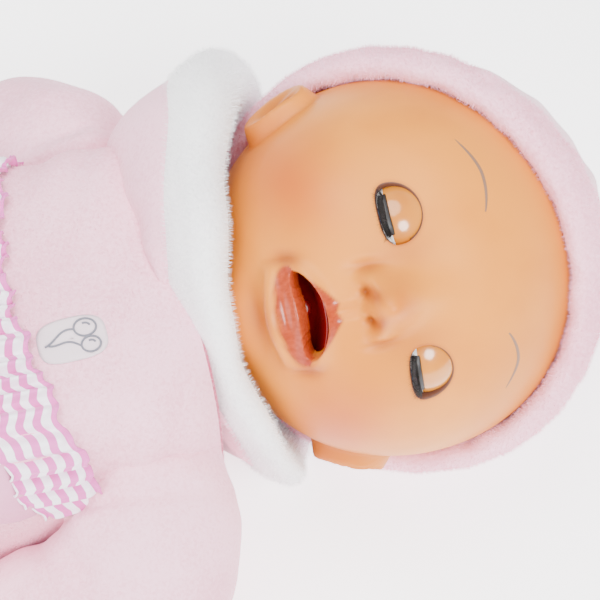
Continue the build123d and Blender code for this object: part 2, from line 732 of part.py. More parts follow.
def make_arm(side, name):
    plane = arm_plane(side)
    skin_root = sleeve_root_r - arm_wall
    skin_end = sleeve_cuff_r - arm_wall
    with BuildPart() as sleeve:
        add(limb(plane, sleeve_root_r, sleeve_cuff_r, sleeve_len))
        add(limb(plane, skin_root, skin_end, sleeve_len + 1), mode=Mode.SUBTRACT)
    save(sleeve, f"{name}_sleeve")
    with BuildPart() as cuff:
        with BuildSketch(plane.offset(sleeve_len + 0.1)):
            Circle(sleeve_cuff_r + 1.2)
            Circle(skin_end - 2.6, mode=Mode.SUBTRACT)
        extrude(amount=cuff_len)
        fillet(cuff.edges().group_by(SortBy.LENGTH)[-1], 1.0)
    save(cuff, f"{name}_cuff")
    elbow = sleeve_len * 0.45
    with BuildPart() as upper:
        add(limb(plane, skin_root - 0.2, skin_end - 0.2, sleeve_len))
        split(bisect_by=plane.offset(elbow), keep=Keep.BOTTOM)
    save(upper, f"{name}_upper_arm")
    wrist_r = skin_end - 2.9
    with BuildPart() as hand:
        with BuildSketch(plane.offset(elbow + 0.2)):
            Circle(skin_end - 0.8)
        with BuildSketch(plane.offset(sleeve_len - 6)):
            Circle(wrist_r)
        loft()
        with BuildSketch(plane.offset(sleeve_len - 6.1)):
            Circle(wrist_r)
        extrude(amount=cuff_len + 12)
        palm_at = sleeve_len + cuff_len + palm_r * 0.9
        with BuildSketch(plane.offset(palm_at - palm_r)):
            RectangleRounded(2 * palm_r * 0.72, 2 * palm_r, 6)
        extrude(amount=palm_r * 1.6)
        for i in range(4):
            reach = hand_len - palm_r * 1.5 - abs(i - 1.4) * 2
            with BuildSketch(plane.offset(palm_at + palm_r * 0.5)):
                with Locations((0, (i - 1.5) * palm_r * 0.48)):
                    Circle(palm_r * 0.25)
            extrude(amount=reach)
        thumb = Plane(
            origin=plane.from_local_coords(Vector(0, -palm_r * 0.9, palm_at - 4)),
            x_dir=plane.x_dir,
            z_dir=plane.z_dir * 0.8 - plane.y_dir * 0.6,
        )
        with BuildSketch(thumb):
            Circle(palm_r * 0.27)
        extrude(amount=hand_len * 0.42)
    save(hand, f"{name}_forearm_and_hand")


def foot_block(side, grow):
    """The bootee's block: heel on the surface, toes up, grow bigger than the foot."""
    high = foot_height + grow
    low = -grow
    centre = (sole_x + 3 + foot_len / 2, side * hip_y, (high + low) / 2 + 3)
    with BuildPart(mode=Mode.PRIVATE) as made:
        with Locations(centre):
            Box(foot_len + 2 * grow, 2 * (foot_half_w + grow) - 6, high - low)
        fillet(made.edges().filter_by(Axis.Z), foot_round + grow)
        fillet(made.faces().sort_by(Axis.Z)[-1].edges(), foot_round)
    return made.part


def make_leg(side, name):
    plane = leg_plane(side)
    ankle = hip_x - (sole_x + 3 + foot_len + 3)
    skin_root = hip_root_r - leg_wall
    skin_end = trouser_ankle_r - leg_wall
    knee = ankle * knee_share
    with BuildPart() as trouser:
        add(limb(plane, hip_root_r, trouser_ankle_r, ankle))
        add(limb(plane, skin_root, skin_end, ankle + 1), mode=Mode.SUBTRACT)
    save(trouser, f"{name}_trouser_leg")
    with BuildPart() as thigh:
        add(limb(plane, skin_root - 0.2, skin_end - 0.2, ankle))
        split(bisect_by=plane.offset(knee), keep=Keep.BOTTOM)
    save(thigh, f"{name}_thigh")
    shin_r = skin_end - 1.2
    with BuildPart() as shin:
        with BuildSketch(plane.offset(knee + 0.2)):
            Circle(shin_r + 1.0)
        with BuildSketch(plane.offset(ankle - 2)):
            Circle(shin_r - 2)
        loft()
        with BuildSketch(plane.offset(ankle - 2.1)):
            Circle(shin_r - 2)
        extrude(amount=12)
        add(foot_block(side, 0))
    save(shin, f"{name}_lower_leg_and_foot")
    with BuildPart() as bootee:
        add(foot_block(side, 3.0))
        add(foot_block(side, 0.2), mode=Mode.SUBTRACT)
        with BuildSketch(plane.offset(ankle - 6)):
            Circle(shin_r - 1.6)
        extrude(amount=14, mode=Mode.SUBTRACT)
    save(bootee, f"{name}_bootee")


# ---------------------------------------------------------------- the whole doll
make_head_shell()
make_neck_plug()
make_mouth()
for eye_side, eye_name in ((-1, "left"), (1, "right")):
    make_eye(eye_side, eye_name)
make_hat()
make_torso()
make_neck_fittings()
make_tummy_button()
make_case()
make_battery_door()
make_batteries()
make_electronics()
make_jacket()
make_collar()
make_front_trim()
for limb_side, limb_name in ((-1, "left"), (1, "right")):
    make_arm(limb_side, limb_name)
    make_leg(limb_side, limb_name)
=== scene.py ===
"""Looks of a soft-bodied baby doll that lies on its back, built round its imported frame."""

import json
import math

import bmesh
import bpy
import numpy as np
from mathutils import Matrix, Vector


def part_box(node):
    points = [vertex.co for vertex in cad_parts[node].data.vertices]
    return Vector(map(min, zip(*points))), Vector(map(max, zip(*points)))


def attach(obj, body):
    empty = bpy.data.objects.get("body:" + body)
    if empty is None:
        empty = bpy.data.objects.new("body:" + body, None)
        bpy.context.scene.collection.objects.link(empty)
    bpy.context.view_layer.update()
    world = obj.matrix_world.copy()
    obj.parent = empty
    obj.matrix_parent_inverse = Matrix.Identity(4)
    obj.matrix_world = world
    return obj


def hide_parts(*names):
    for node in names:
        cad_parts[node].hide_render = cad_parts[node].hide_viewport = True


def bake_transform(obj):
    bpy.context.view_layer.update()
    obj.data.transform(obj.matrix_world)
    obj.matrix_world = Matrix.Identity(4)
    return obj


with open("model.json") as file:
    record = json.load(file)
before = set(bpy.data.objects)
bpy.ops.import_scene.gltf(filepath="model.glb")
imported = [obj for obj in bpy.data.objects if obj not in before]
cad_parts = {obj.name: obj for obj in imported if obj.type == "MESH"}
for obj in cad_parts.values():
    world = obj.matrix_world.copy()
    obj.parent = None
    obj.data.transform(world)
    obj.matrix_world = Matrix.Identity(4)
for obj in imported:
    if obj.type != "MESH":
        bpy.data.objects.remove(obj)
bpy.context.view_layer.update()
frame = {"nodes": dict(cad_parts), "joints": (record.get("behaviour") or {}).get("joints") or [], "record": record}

MM = 0.001
CROWN = Vector((1, 0, 0))
JOINTS = {joint["name"]: joint for joint in frame["joints"]}
LEFT_EYE = Vector(JOINTS["eye_left_roll"]["pos_m"])
RIGHT_EYE = Vector(JOINTS["eye_right_roll"]["pos_m"])
EYE_LOW = 4.0 * MM
EYE_OUT = 43.45 * MM
SIDE = (RIGHT_EYE - LEFT_EYE).normalized()
FACE = CROWN.cross(SIDE).normalized()
HEAD = (LEFT_EYE + RIGHT_EYE) / 2 - FACE * EYE_OUT + CROWN * EYE_LOW
NECK_Z = JOINTS["head_turn"]["pos_m"][2]
HEAD_R = 60.0
SEED = 11


# ------------------------------------------------------------ camera, light, floor
def set_camera():
    azimuth, elevation, reach = math.radians(-15), math.radians(61), 0.62
    back = Vector((
        math.sin(azimuth) * math.cos(elevation),
        -math.cos(azimuth) * math.cos(elevation),
        math.sin(elevation),
    ))
    aim = HEAD + CROWN * -0.0375 + SIDE * 0.005 + FACE * 0.050
    data = bpy.data.cameras.new("camera")
    data.lens = 127
    camera = bpy.data.objects.new("camera", data)
    bpy.context.collection.objects.link(camera)
    camera.location = aim + back * reach
    camera.rotation_euler = (-back).to_track_quat("-Z", "Y").to_euler()
    bpy.context.scene.camera = camera


def area_light(name, place, aim, size, watts, colour=(1, 1, 1)):
    data = bpy.data.lights.new(name, "AREA")
    data.shape = "DISK"
    data.size = size
    data.energy = watts
    data.color = colour
    lamp = bpy.data.objects.new(name, data)
    bpy.context.collection.objects.link(lamp)
    lamp.location = place
    lamp.rotation_euler = (Vector(aim) - Vector(place)).to_track_quat("-Z", "Y").to_euler()


def set_light():
    area_light("key", (0.35, -0.75, 0.95), (0.12, 0, 0.05), 0.55, 22)
    area_light("overhead", (0.0, 0.25, 1.1), (0.1, 0, 0.05), 0.9, 15)
    area_light("fill", (-0.7, -0.5, 0.6), (0.08, 0, 0.06), 0.8, 8)
    world = bpy.data.worlds.new("studio")
    world.use_nodes = True
    world.node_tree.nodes["Background"].inputs["Color"].default_value = (1.0, 0.99, 0.99, 1)
    world.node_tree.nodes["Background"].inputs["Strength"].default_value = 1.05
    bpy.context.scene.world = world


# ------------------------------------------------------------ shader maths
class Value:
    """A socket that takes part in plain Python sums."""

    def __init__(self, finish, socket):
        self.finish = finish
        self.socket = socket

    def sum(self, operation, *others):
        return self.finish.node("ShaderNodeMath", {"operation": operation}, self, *others)

    def __add__(self, other):
        return self.sum("ADD", other)

    __radd__ = __add__

    def __mul__(self, other):
        return self.sum("MULTIPLY", other)

    __rmul__ = __mul__

    def __sub__(self, other):
        return self.sum("SUBTRACT", other)


class Finish:
    """A material on a Principled shader, with its pattern built from Python sums."""

    def __init__(self, name, colour, roughness=0.6, **constants):
        self.material = bpy.data.materials.new(name)
        self.material.use_nodes = True
        self.tree = self.material.node_tree
        self.shader = self.tree.nodes["Principled BSDF"]
        self.shader.inputs["Base Color"].default_value = (*colour, 1)
        self.shader.inputs["Roughness"].default_value = roughness
        for key, value in constants.items():
            self.shader.inputs[key.replace("_", " ")].default_value = value
        self.place = None

    def node(self, kind, settings, *values, output=0, **named):
        made = self.tree.nodes.new(kind)
        for key, value in settings.items():
            setattr(made, key, value)
        pairs = list(enumerate(values)) + [(key.replace("_", " "), v) for key, v in named.items()]
        for key, value in pairs:
            socket = made.inputs[key]
            if isinstance(value, Value):
                self.tree.links.new(value.socket, socket)
            elif value is not None:
                socket.default_value = value
        return Value(self, made.outputs[output])

    def spot(self, stretch=(1, 1, 1), turn=(0, 0, 0)):
        """Object coordinates in millimetres, stretched and turned."""
        if self.place is None:
            self.place = self.node("ShaderNodeTexCoord", {}, output="Object")
        scale = tuple(1000 * s for s in stretch)
        return self.node(
            "ShaderNodeMapping", {"vector_type": "POINT"}, Vector=self.place, Scale=scale, Rotation=turn
        )

    def grain(self, scale, detail=2.0, stretch=(1, 1, 1), turn=(0, 0, 0), distortion=0.0):
        return self.node(
            "ShaderNodeTexNoise", {}, Vector=self.spot(stretch, turn), Scale=scale, Detail=detail,
            Distortion=distortion,
        )

    def painted(self, name, output="Fac"):
        return self.node("ShaderNodeAttribute", {"attribute_name": name}, output=output)

    def ramp(self, value, low, high):
        return self.node(
            "ShaderNodeMapRange", {"interpolation_type": "SMOOTHSTEP"}, Value=value,
            From_Min=low, From_Max=high,
        )

    def mix(self, share, first, second):
        made = self.tree.nodes.new("ShaderNodeMix")
        made.data_type = "RGBA"
        first = (*first, 1) if isinstance(first, tuple) else first
        second = (*second, 1) if isinstance(second, tuple) else second
        for index, value in ((0, share), (6, first), (7, second)):
            if isinstance(value, Value):
                self.tree.links.new(value.socket, made.inputs[index])
            else:
                made.inputs[index].default_value = value
        return Value(self, made.outputs[2])

    def bump(self, height, strength, depth):
        """A bump of a given depth in millimetres."""
        made = self.node("ShaderNodeBump", {}, Strength=strength, Distance=depth * MM, Height=height)
        self.feed("Normal", made)

    def feed(self, socket, value):
        self.tree.links.new(value.socket, self.shader.inputs[socket])



def fleece(name, colour, deep, knit=1.6, curl=0.9):
    """Short pile: soft colour clouds, small curls and a pale sheen."""
    made = Finish(name, colour, 0.92, Sheen_Weight=0.22, Sheen_Roughness=0.45, Specular_IOR_Level=0.2)
    clouds = made.grain(0.035, 3)
    curls = made.grain(curl, 3, distortion=0.6)
    rows = made.grain(knit, 1, stretch=(1, 0.6, 0.6))
    tone = (clouds * 0.45 + curls * 0.55)
    made.feed("Base Color", made.mix(made.ramp(tone, 0.36, 0.6), deep, colour))
    made.bump(curls * 0.7 + rows * 0.3, 0.55, 0.7)
    return made.material


def plastic(name, colour, roughness, speck=0.15, gloss=0.0):
    """Moulded plastic: a faint drift of tone and a fine spark-eroded grain."""
    made = Finish(name, colour, roughness, Coat_Weight=gloss, Coat_Roughness=0.15)
    drift = made.grain(0.05, 2)
    grain = made.grain(2.2, 2)
    dark = tuple(c * 0.86 for c in colour)
    made.feed("Base Color", made.mix(made.ramp(drift, 0.35, 0.65), dark, colour))
    made.feed("Roughness", grain * speck + (roughness - speck / 2))
    made.bump(grain, 0.15, 0.08)
    return made.material


def metal(name, colour, roughness):
    """Plated steel with fine drawn lines."""
    made = Finish(name, colour, roughness, Metallic=1.0)
    lines = made.grain(1.2, 3, stretch=(0.2, 3, 3))
    made.feed("Roughness", lines * 0.25 + (roughness - 0.1))
    made.bump(lines, 0.2, 0.03)
    return made.material


def woven(name, colour, deep, pitch=0.55):
    """Plain cotton weave."""
    made = Finish(name, colour, 0.88, Sheen_Weight=0.25, Sheen_Roughness=0.5)
    warp = made.node("ShaderNodeTexWave", {"bands_direction": "X"}, Vector=made.spot(), Scale=1 / pitch,
                     Distortion=0.6, Detail=1.0)
    weft = made.node("ShaderNodeTexWave", {"bands_direction": "Y"}, Vector=made.spot(), Scale=1 / pitch,
                     Distortion=0.6, Detail=1.0)
    cloth = warp * weft
    tone = made.grain(0.06, 3)
    made.feed("Base Color", made.mix(cloth * 0.4 + tone * 0.6, deep, colour))
    made.bump(cloth, 0.4, 0.15)
    return made.material


# ------------------------------------------------------------ meshes
def add_mesh(name, points, faces, materials, smooth=True):
    """A piece from points in millimetres of the row frame."""
    mesh = bpy.data.meshes.new(name)
    mesh.from_pydata([tuple(p) for p in np.asarray(points) * MM], [], [tuple(f) for f in faces])
    for material in materials:
        mesh.materials.append(material)
    if smooth:
        mesh.polygons.foreach_set("use_smooth", [True] * len(mesh.polygons))
    mesh.update()
    piece = bpy.data.objects.new(name, mesh)
    bpy.context.collection.objects.link(piece)
    return piece


def tidy_mesh(piece, merge=1e-6, outward=True):
    shape = bmesh.new()
    shape.from_mesh(piece.data)
    bmesh.ops.remove_doubles(shape, verts=shape.verts, dist=merge)
    if outward:
        bmesh.ops.recalc_face_normals(shape, faces=shape.faces)
    shape.to_mesh(piece.data)
    shape.free()
    piece.data.polygons.foreach_set("use_smooth", [True] * len(piece.data.polygons))
    piece.data.update()


def place(piece, body, slot, *nodes):
    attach(piece, body)
    if nodes:
        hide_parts(*nodes)
    return piece


def in_row(local):
    """Millimetres in the head's own axes (crown, side, face) to the row frame."""
    axes = np.array([CROWN, SIDE, FACE])
    return np.asarray(local) @ axes + np.array(HEAD) * 1000


def steps(low, high, value):
    t = np.clip((value - low) / (high - low), 0, 1)
    return t * t * (3 - 2 * t)


def hill(across, up, at, wide, power=2.0):
    return np.exp(-(np.abs((across - at[0]) / wide[0]) ** power + np.abs((up - at[1]) / wide[1]) ** power))


# ------------------------------------------------------------ the head
MOUTH_HALF_W = 14.0
MOUTH_HALF_H = 3.9
MOUTH_UP = -35.6


def mouth_depth(across, up):
    """Distance outside the open mouth's edge, about in millimetres, negative inside."""
    middle = MOUTH_UP - 2.2 * (across / MOUTH_HALF_W) ** 2
    value = np.sqrt(((up - middle) / MOUTH_HALF_H) ** 2 + (across / MOUTH_HALF_W) ** 2) + 1e-6
    slope = np.sqrt((up - middle) ** 2 / MOUTH_HALF_H**4 + across**2 / MOUTH_HALF_W**4) / value
    return (value - 1) / np.maximum(slope, 0.02), up - middle


def skin_radius(way):
    """Distance from the middle of the head to the skin, along unit directions."""
    up, across, out = (HEAD_R * way).T
    front = steps(2, 22, out)
    tall = np.zeros(len(way))
    for side in (-1, 1):
        tall += 3.0 * hill(across, up, (side * 31, -27), (17, 15))
        tall -= 1.5 * hill(across, up, (side * 25, 0), (14, 10))
        tall += 4.6 * hill(across, up, (side * 7.4, -16.4), (3.5, 3.6))
        tall -= 1.9 * hill(across, up, (side * 11.6, -17.2), (1.8, 4.4))
        tall -= 1.3 * hill(across, up, (side * 17.5, -38.5), (2.0, 3.6))
        tall += 0.5 * hill(across, up, (side * 2.9, -24.5), (1.4, 3.6))
    tall += 3.0 * hill(across, up, (0, -3), (5.5, 9))
    nose = 9.4 * hill(
        across, up, (0, -12.5), (6.8, 7.4), 2.3
    ) + 3.6 * hill(across, up, (0, -12.6), (5.2, 4.4))
    tall += nose * steps(-22.5, -17.0, up)
    for side in (-1, 1):
        tall -= 5.2 * hill(across, up, (side * 4.3, -18.3), (2.2, 1.8))
    tall += 4.4 * hill(across, up, (0, -34), (17, 12))
    tall -= 0.8 * hill(across, up, (0, -24.5), (1.5, 4))
    outside, _ = mouth_depth(across, up)
    corner = np.clip(1 - (across / 17.0) ** 2, 0, 1)
    tall += 2.8 * np.exp(-(((outside - 2.1) / 1.9) ** 2)) * corner**0.6
    tall += 3.2 * hill(across, up, (0, -42.6), (9.5, 3.0)) * steps(0.2, 1.6, outside)
    tall -= 2.2 * hill(across, up, (0, -48.6), (11, 2.6))
    tall += 4.6 * hill(across, up, (0, -54), (12, 6))
    tall = tall * front
    side_on = steps(30, 48, np.abs(across))
    ear_up, ear_out = (up + 25) / 11.0, (out - 3) / 7.5
    ear = np.sqrt(ear_up**2 + ear_out**2)
    lobe = 6.0 * steps(1.15, 0.80, ear) - 4.4 * hill(ear_out, ear_up, (0.15, 0.05), (0.52, 0.60), 2.4)
    lobe += 1.8 * hill(ear_out, ear_up, (0.0, 0.25), (0.2, 0.36))
    tall += lobe * side_on
    return HEAD_R + tall


def eye_axes(side):
    """The eye's own axes in head axes: crown-ish, side-ish, outward."""
    middle = np.array([-4.0, side * 19.8, 43.45])
    out = middle / np.linalg.norm(middle)
    up = np.array([1, 0, -out[0] / out[2]])
    up /= np.linalg.norm(up)
    return middle, up, np.cross(out, up), out


EYE_HALF_W, EYE_HIGH, EYE_DROP, EYE_MID = 9.7, 8.6, 4.9, -0.8


def eye_edge(points, side):
    """1 on the rim of the eye opening, less inside it."""
    middle, up, across, out = eye_axes(side)
    rel = points - middle
    v, u = rel @ up - EYE_MID, rel @ across
    low = v < 0
    tall = np.where(low, EYE_DROP, EYE_HIGH)
    power = np.where(low, 2.7, 2.0)
    value = (np.abs(u / EYE_HALF_W) ** power + np.abs(v / tall) ** power) ** (1 / power)
    return np.where(rel @ out > 0, value, 9.0)


def sphere_grid(count):
    """Directions and quads of a cube-sphere, drawn together towards the face."""
    ways, quads = [], []
    ticks = np.tan(np.linspace(-math.pi / 4, math.pi / 4, count + 1))
    a, b = np.meshgrid(ticks, ticks, indexing="ij")
    one = np.ones_like(a)
    for sheet in ((one, a, b), (-one, b, a), (b, one, a), (a, -one, b), (a, b, one), (b, a, -one)):
        start = len(ways) * (count + 1) ** 2
        ways.append(np.stack(sheet, -1).reshape(-1, 3))
        index = start + np.arange((count + 1) ** 2).reshape(count + 1, count + 1)
        quads.append(
            np.stack((index[:-1, :-1], index[1:, :-1], index[1:, 1:], index[:-1, 1:]), -1).reshape(-1, 4)
        )
    ways = np.concatenate(ways)
    ways /= np.linalg.norm(ways, axis=1)[:, None]
    angle = np.arccos(np.clip(ways[:, 2], -1, 1))
    closer = angle - 0.42 * np.sin(angle)
    flat = np.linalg.norm(ways[:, :2], axis=1) + 1e-12
    ways = np.stack(
        (ways[:, 0] / flat * np.sin(closer), ways[:, 1] / flat * np.sin(closer), np.cos(closer)), -1
    )
    return ways, np.concatenate(quads)


def snap(points, measure, inside, rounds=12):
    """Moves the inside points out along the measure's slope until it is 1."""
    moved = points[inside].copy()
    for _ in range(rounds):
        value = measure(moved)
        slope = np.stack([(measure(moved + np.eye(3)[k] * 0.02) - value) / 0.02 for k in range(3)], -1)
        size = np.maximum((slope**2).sum(1), 1e-4)
        moved += slope * ((1 - value) / size)[:, None] * 0.8
    points[inside] = moved


def make_head(skin, socket_shade):
    ways, quads = sphere_grid(108)
    _, first, where = np.unique(np.round(ways, 7), axis=0, return_index=True, return_inverse=True)
    ways, quads = ways[first], where.reshape(-1)[quads]
    points = ways * skin_radius(ways)[:, None]

    def mouth_edge(spots):
        away, _ = mouth_depth(spots[:, 1], spots[:, 0])
        return np.where(spots[:, 2] > 20, 1 + away / 6, 9.0)

    measures = [mouth_edge] + [lambda p, s=s: eye_edge(p, s) for s in (-1, 1)]
    keep = np.ones(len(quads), bool)
    for measure in measures:
        inside = measure(points) < 1
        keep &= ~inside[quads].all(1)
        snap(points, measure, inside)
        radius = np.linalg.norm(points, axis=1)
        ring = inside & (radius > 1)
        unit = points[ring] / radius[ring][:, None]
        points[ring] = unit * skin_radius(unit)[:, None]
    quads = quads[keep]
    used = np.unique(quads)
    renumber = -np.ones(len(points), int)
    renumber[used] = np.arange(len(used))
    points, quads = points[used], renumber[quads]
    piece = add_mesh("head_skin", in_row(points), quads, [skin, socket_shade])
    shape = bmesh.new()
    shape.from_mesh(piece.data)
    bmesh.ops.recalc_face_normals(shape, faces=shape.faces)
    axes = np.array([CROWN, SIDE, FACE])
    for centre, depths in (
        (np.array([MOUTH_UP - 0.5, 0, 40]), ((0.35, 0.3), (0.7, 1.2), (0.9, 6.0))),
        (eye_axes(-1)[0], ((0.2, 0.1), (0.35, 0.6), (0.2, 2.6))),
        (eye_axes(1)[0], ((0.2, 0.1), (0.35, 0.6), (0.2, 2.6))),
    ):
        out = centre / np.linalg.norm(centre)
        if centre[1] == 0:
            out = np.array([-0.35, 0, 0.94])
        edges = [
            e for e in shape.edges if e.is_boundary
            and np.linalg.norm(
                (np.array(e.verts[0].co) * 1000 - np.array(HEAD) * 1000) @ axes.T - out * 52
            ) < 26
            and abs(
                ((np.array(e.verts[0].co) * 1000 - np.array(HEAD) * 1000) @ axes.T)[1] - centre[1] * 1.2
            ) < 16
        ]
        for inward, down in depths:
            made = bmesh.ops.extrude_edge_only(shape, edges=edges)["geom"]
            edges = [g for g in made if isinstance(g, bmesh.types.BMEdge) and g.is_boundary]
            verts = [g for g in made if isinstance(g, bmesh.types.BMVert)]
            middle = np.mean([np.array(v.co) for v in verts], axis=0)
            world_out = out @ axes
            for vert in verts:
                to_mid = middle - np.array(vert.co)
                to_mid -= world_out * (to_mid @ world_out)
                to_mid /= np.linalg.norm(to_mid) + 1e-9
                vert.co = Vector(np.array(vert.co) + (to_mid * inward - world_out * down * 0.8) * MM)
            for face in (g for g in made if isinstance(g, bmesh.types.BMFace)):
                # The eye openings' inner walls take the dark brown painted shade; the mouth's walls stay skin.
                face.material_index = 0 if centre[1] == 0 else 1
                face.smooth = True
    shape.to_mesh(piece.data)
    shape.free()
    paint_head(piece)
    return piece


def paint_head(piece):
    """Stores the sprayed colours, lips and blush, and a warm painted shade in the creases, nostrils and ears and
    round the rims of the eyes.
    """
    count = len(piece.data.vertices)
    spots = np.empty(count * 3)
    piece.data.vertices.foreach_get("co", spots)
    local = (spots.reshape(-1, 3) * 1000 - np.array(HEAD) * 1000) @ np.array([CROWN, SIDE, FACE]).T
    up, across, out = local.T
    outside, above = mouth_depth(across, up)
    reach = np.where(above > 0, 4.4 - 0.5 * np.abs(np.abs(across) - 2.6), 5.6) * np.clip(
        1 - (across / 17.5) ** 2, 0, 1
    )
    lips = steps(0.9, -0.5, outside - reach) * (out > 20)
    blush = sum(hill(across, up, (side * 38, -32), (15, 13)) for side in (-1, 1))
    blush += 0.35 * hill(across, up, (0, -55), (14, 8)) + 0.5 * hill(across, up, (0, -11), (6, 5))
    # Painted shade: darkening in the chin crease, the mouth corners, the nostrils and beside the nose, round the
    # eye openings and in the ears.
    crease_shade = 0.8 * hill(across, up, (0, -48.6), (9, 2.2))
    for side in (-1, 1):
        crease_shade += 1.0 * hill(across, up, (side * 17.0, -38.5), (2.2, 3.8))
        crease_shade += 1.2 * hill(across, up, (side * 4.3, -18.3), (2.4, 2.0))
        crease_shade += 0.7 * hill(across, up, (side * 11.6, -17.0), (1.4, 4.2))
        crease_shade += 0.45 * hill(across, up, (side * 13.5, -6), (5, 9))
        rim = eye_edge(local, side)
        crease_shade += 0.55 * np.exp(-(((rim - 1.0) / 0.07) ** 2))
    crease_shade *= out > 10
    ear = np.hypot((up + 25) / 11.0, (out - 3) / 7.5)
    crease_shade += 0.8 * hill((out - 3) / 7.5, (up + 25) / 11.0, (0.1, 0), (0.6, 0.6)) * (np.abs(across) > 40)
    crease_shade += 0.5 * np.exp(-(((ear - 1.15) / 0.12) ** 2)) * (np.abs(across) > 40)
    for name, values in (("lips", lips), ("blush", blush), ("crease_shade", crease_shade)):
        layer = piece.data.attributes.new(name, "FLOAT", "POINT")
        layer.data.foreach_set("value", np.clip(values, 0, 1).astype(np.float32))


def skin_finish():
    made = Finish("sprayed_vinyl", (0.64, 0.20, 0.01), 0.42, Subsurface_Weight=0.05, Subsurface_Scale=0.004,
                  Specular_IOR_Level=0.32)
    made.shader.inputs["Subsurface Radius"].default_value = (1.0, 0.45, 0.25)
    cloud = made.grain(0.03, 3)
    base = made.mix(made.ramp(cloud, 0.35, 0.65), (0.62, 0.195, 0.006), (0.69, 0.235, 0.016))
    base = made.mix(made.painted("blush") * 0.68, base, (0.50, 0.075, 0.003))
    # Painted shade in the creases and hollows, a dark warm brown.
    base = made.mix(made.painted("crease_shade") * 0.62, base, (0.25, 0.024, 0.002))
    lips = made.painted("lips")
    streaks = made.grain(0.9, 2, stretch=(0.4, 1, 1))
    lip = made.mix(made.ramp(streaks, 0.2, 0.8), (0.24, 0.016, 0.006), (0.36, 0.040, 0.016))
    made.feed("Base Color", made.mix(lips * 0.92, base, lip))
    grain = made.grain(1.6, 3)
    made.feed("Roughness", grain * 0.1 + 0.40 - lips * 0.24)
    made.bump(grain, 0.12, 0.06)
    return made.material


def make_mouth(red):
    """The red mouth behind the lips: a deep cup with a tongue."""
    rings, around = 14, 56
    points, faces = [], []
    back = np.array([-0.12, 0, -1.0])
    for i in range(rings):
        t = i / (rings - 1)
        swell = 1.22 + 0.12 * math.sin(t * math.pi) if t < 0.8 else 1.22 * (1 - (t - 0.8) / 0.2 * 0.75)
        for k in range(around):
            angle = 2 * math.pi * k / around
            across = MOUTH_HALF_W * swell * math.sin(angle)
            up = MOUTH_UP - 2.2 * (across / MOUTH_HALF_W) ** 2 * 0.6 + MOUTH_HALF_H * swell * math.cos(angle)
            depth = 14 * t
            tongue = 2.6 * math.exp(-((across / 7) ** 2)) * max(0.0, -math.cos(angle)) * steps(0.15, 0.5, t)
            start = math.sqrt(max(HEAD_R**2 - up * up - across * across, 900)) - 2.6
            points.append(np.array([up + tongue, across, start]) + back * depth)
    for i in range(rings - 1):
        for k in range(around):
            n = (k + 1) % around
            faces.append((i * around + k, (i + 1) * around + k, (i + 1) * around + n, i * around + n))
    last = (rings - 1) * around
    points.append(np.mean(points[last:], axis=0))
    faces += [(last + k, len(points) - 1, last + (k + 1) % around) for k in range(around)]
    piece = add_mesh("mouth_lining", in_row(points), faces, [red])
    tidy_mesh(piece)
    wall = piece.modifiers.new("wall", "SOLIDIFY")
    wall.thickness = 0.6 * MM
    wall.offset = 1
    return piece


def strip(name, path, widths, material, lift=0.07, sides=4):
    """A thin painted line that lies on the skin, given in (across, up) of the face."""
    points, faces = [], []
    path = np.asarray(path)
    along = np.gradient(path, axis=0)
    along /= np.linalg.norm(along, axis=1)[:, None]
    normal = np.stack((-along[:, 1], along[:, 0]), -1)
    offsets = np.linspace(-0.5, 0.5, sides + 1)
    for spot, side, width in zip(path, normal, widths):
        for offset in offsets:
            across, up = spot + side * offset * width
            way = np.array([[up, across, math.sqrt(max(HEAD_R**2 - up * up - across * across, 1))]])
            for _ in range(4):
                unit = way / np.linalg.norm(way)
                radius = skin_radius(unit)[0]
                way = np.array([[up, across, math.sqrt(max(radius**2 - up * up - across * across, 1))]])
            crown = lift * (1 - (2 * offset) ** 2) + 0.03
            points.append(unit[0] * (radius + crown))
    for i in range(len(path) - 1):
        for k in range(sides):
            a = i * (sides + 1) + k
            faces.append((a, a + 1, a + sides + 2, a + sides + 1))
    piece = add_mesh(name, in_row(points), faces, [material])
    tidy_mesh(piece)
    return piece


def make_brows(paint):
    for side, name, ends in ((1, "right", 40.0), (-1, "left", 37.0)):
        t = np.linspace(0, 1, 40)
        across = side * (18.5 + (ends - 18.5) * t)
        up = 21.3 + 2.6 * np.sin(math.pi * t**0.9) - 6.0 * np.clip(t - 0.5, 0, 1) ** 1.5
        widths = 0.95 * np.sin(np.clip(t * 0.94 + 0.06, 0, 1) * math.pi) ** 0.6 + 0.12
        piece = strip(f"{name}_brow", np.stack((across, up), -1), widths, paint)
        place(piece, "head", "skin_vinyl")


def eye_frame(side):
    middle, up, across, out = eye_axes(side)
    rows = np.array([up, across, out]) @ np.array([CROWN, SIDE, FACE])
    return in_row(middle), rows


LASH_LINE = -13.9
BALL_R = 12.4


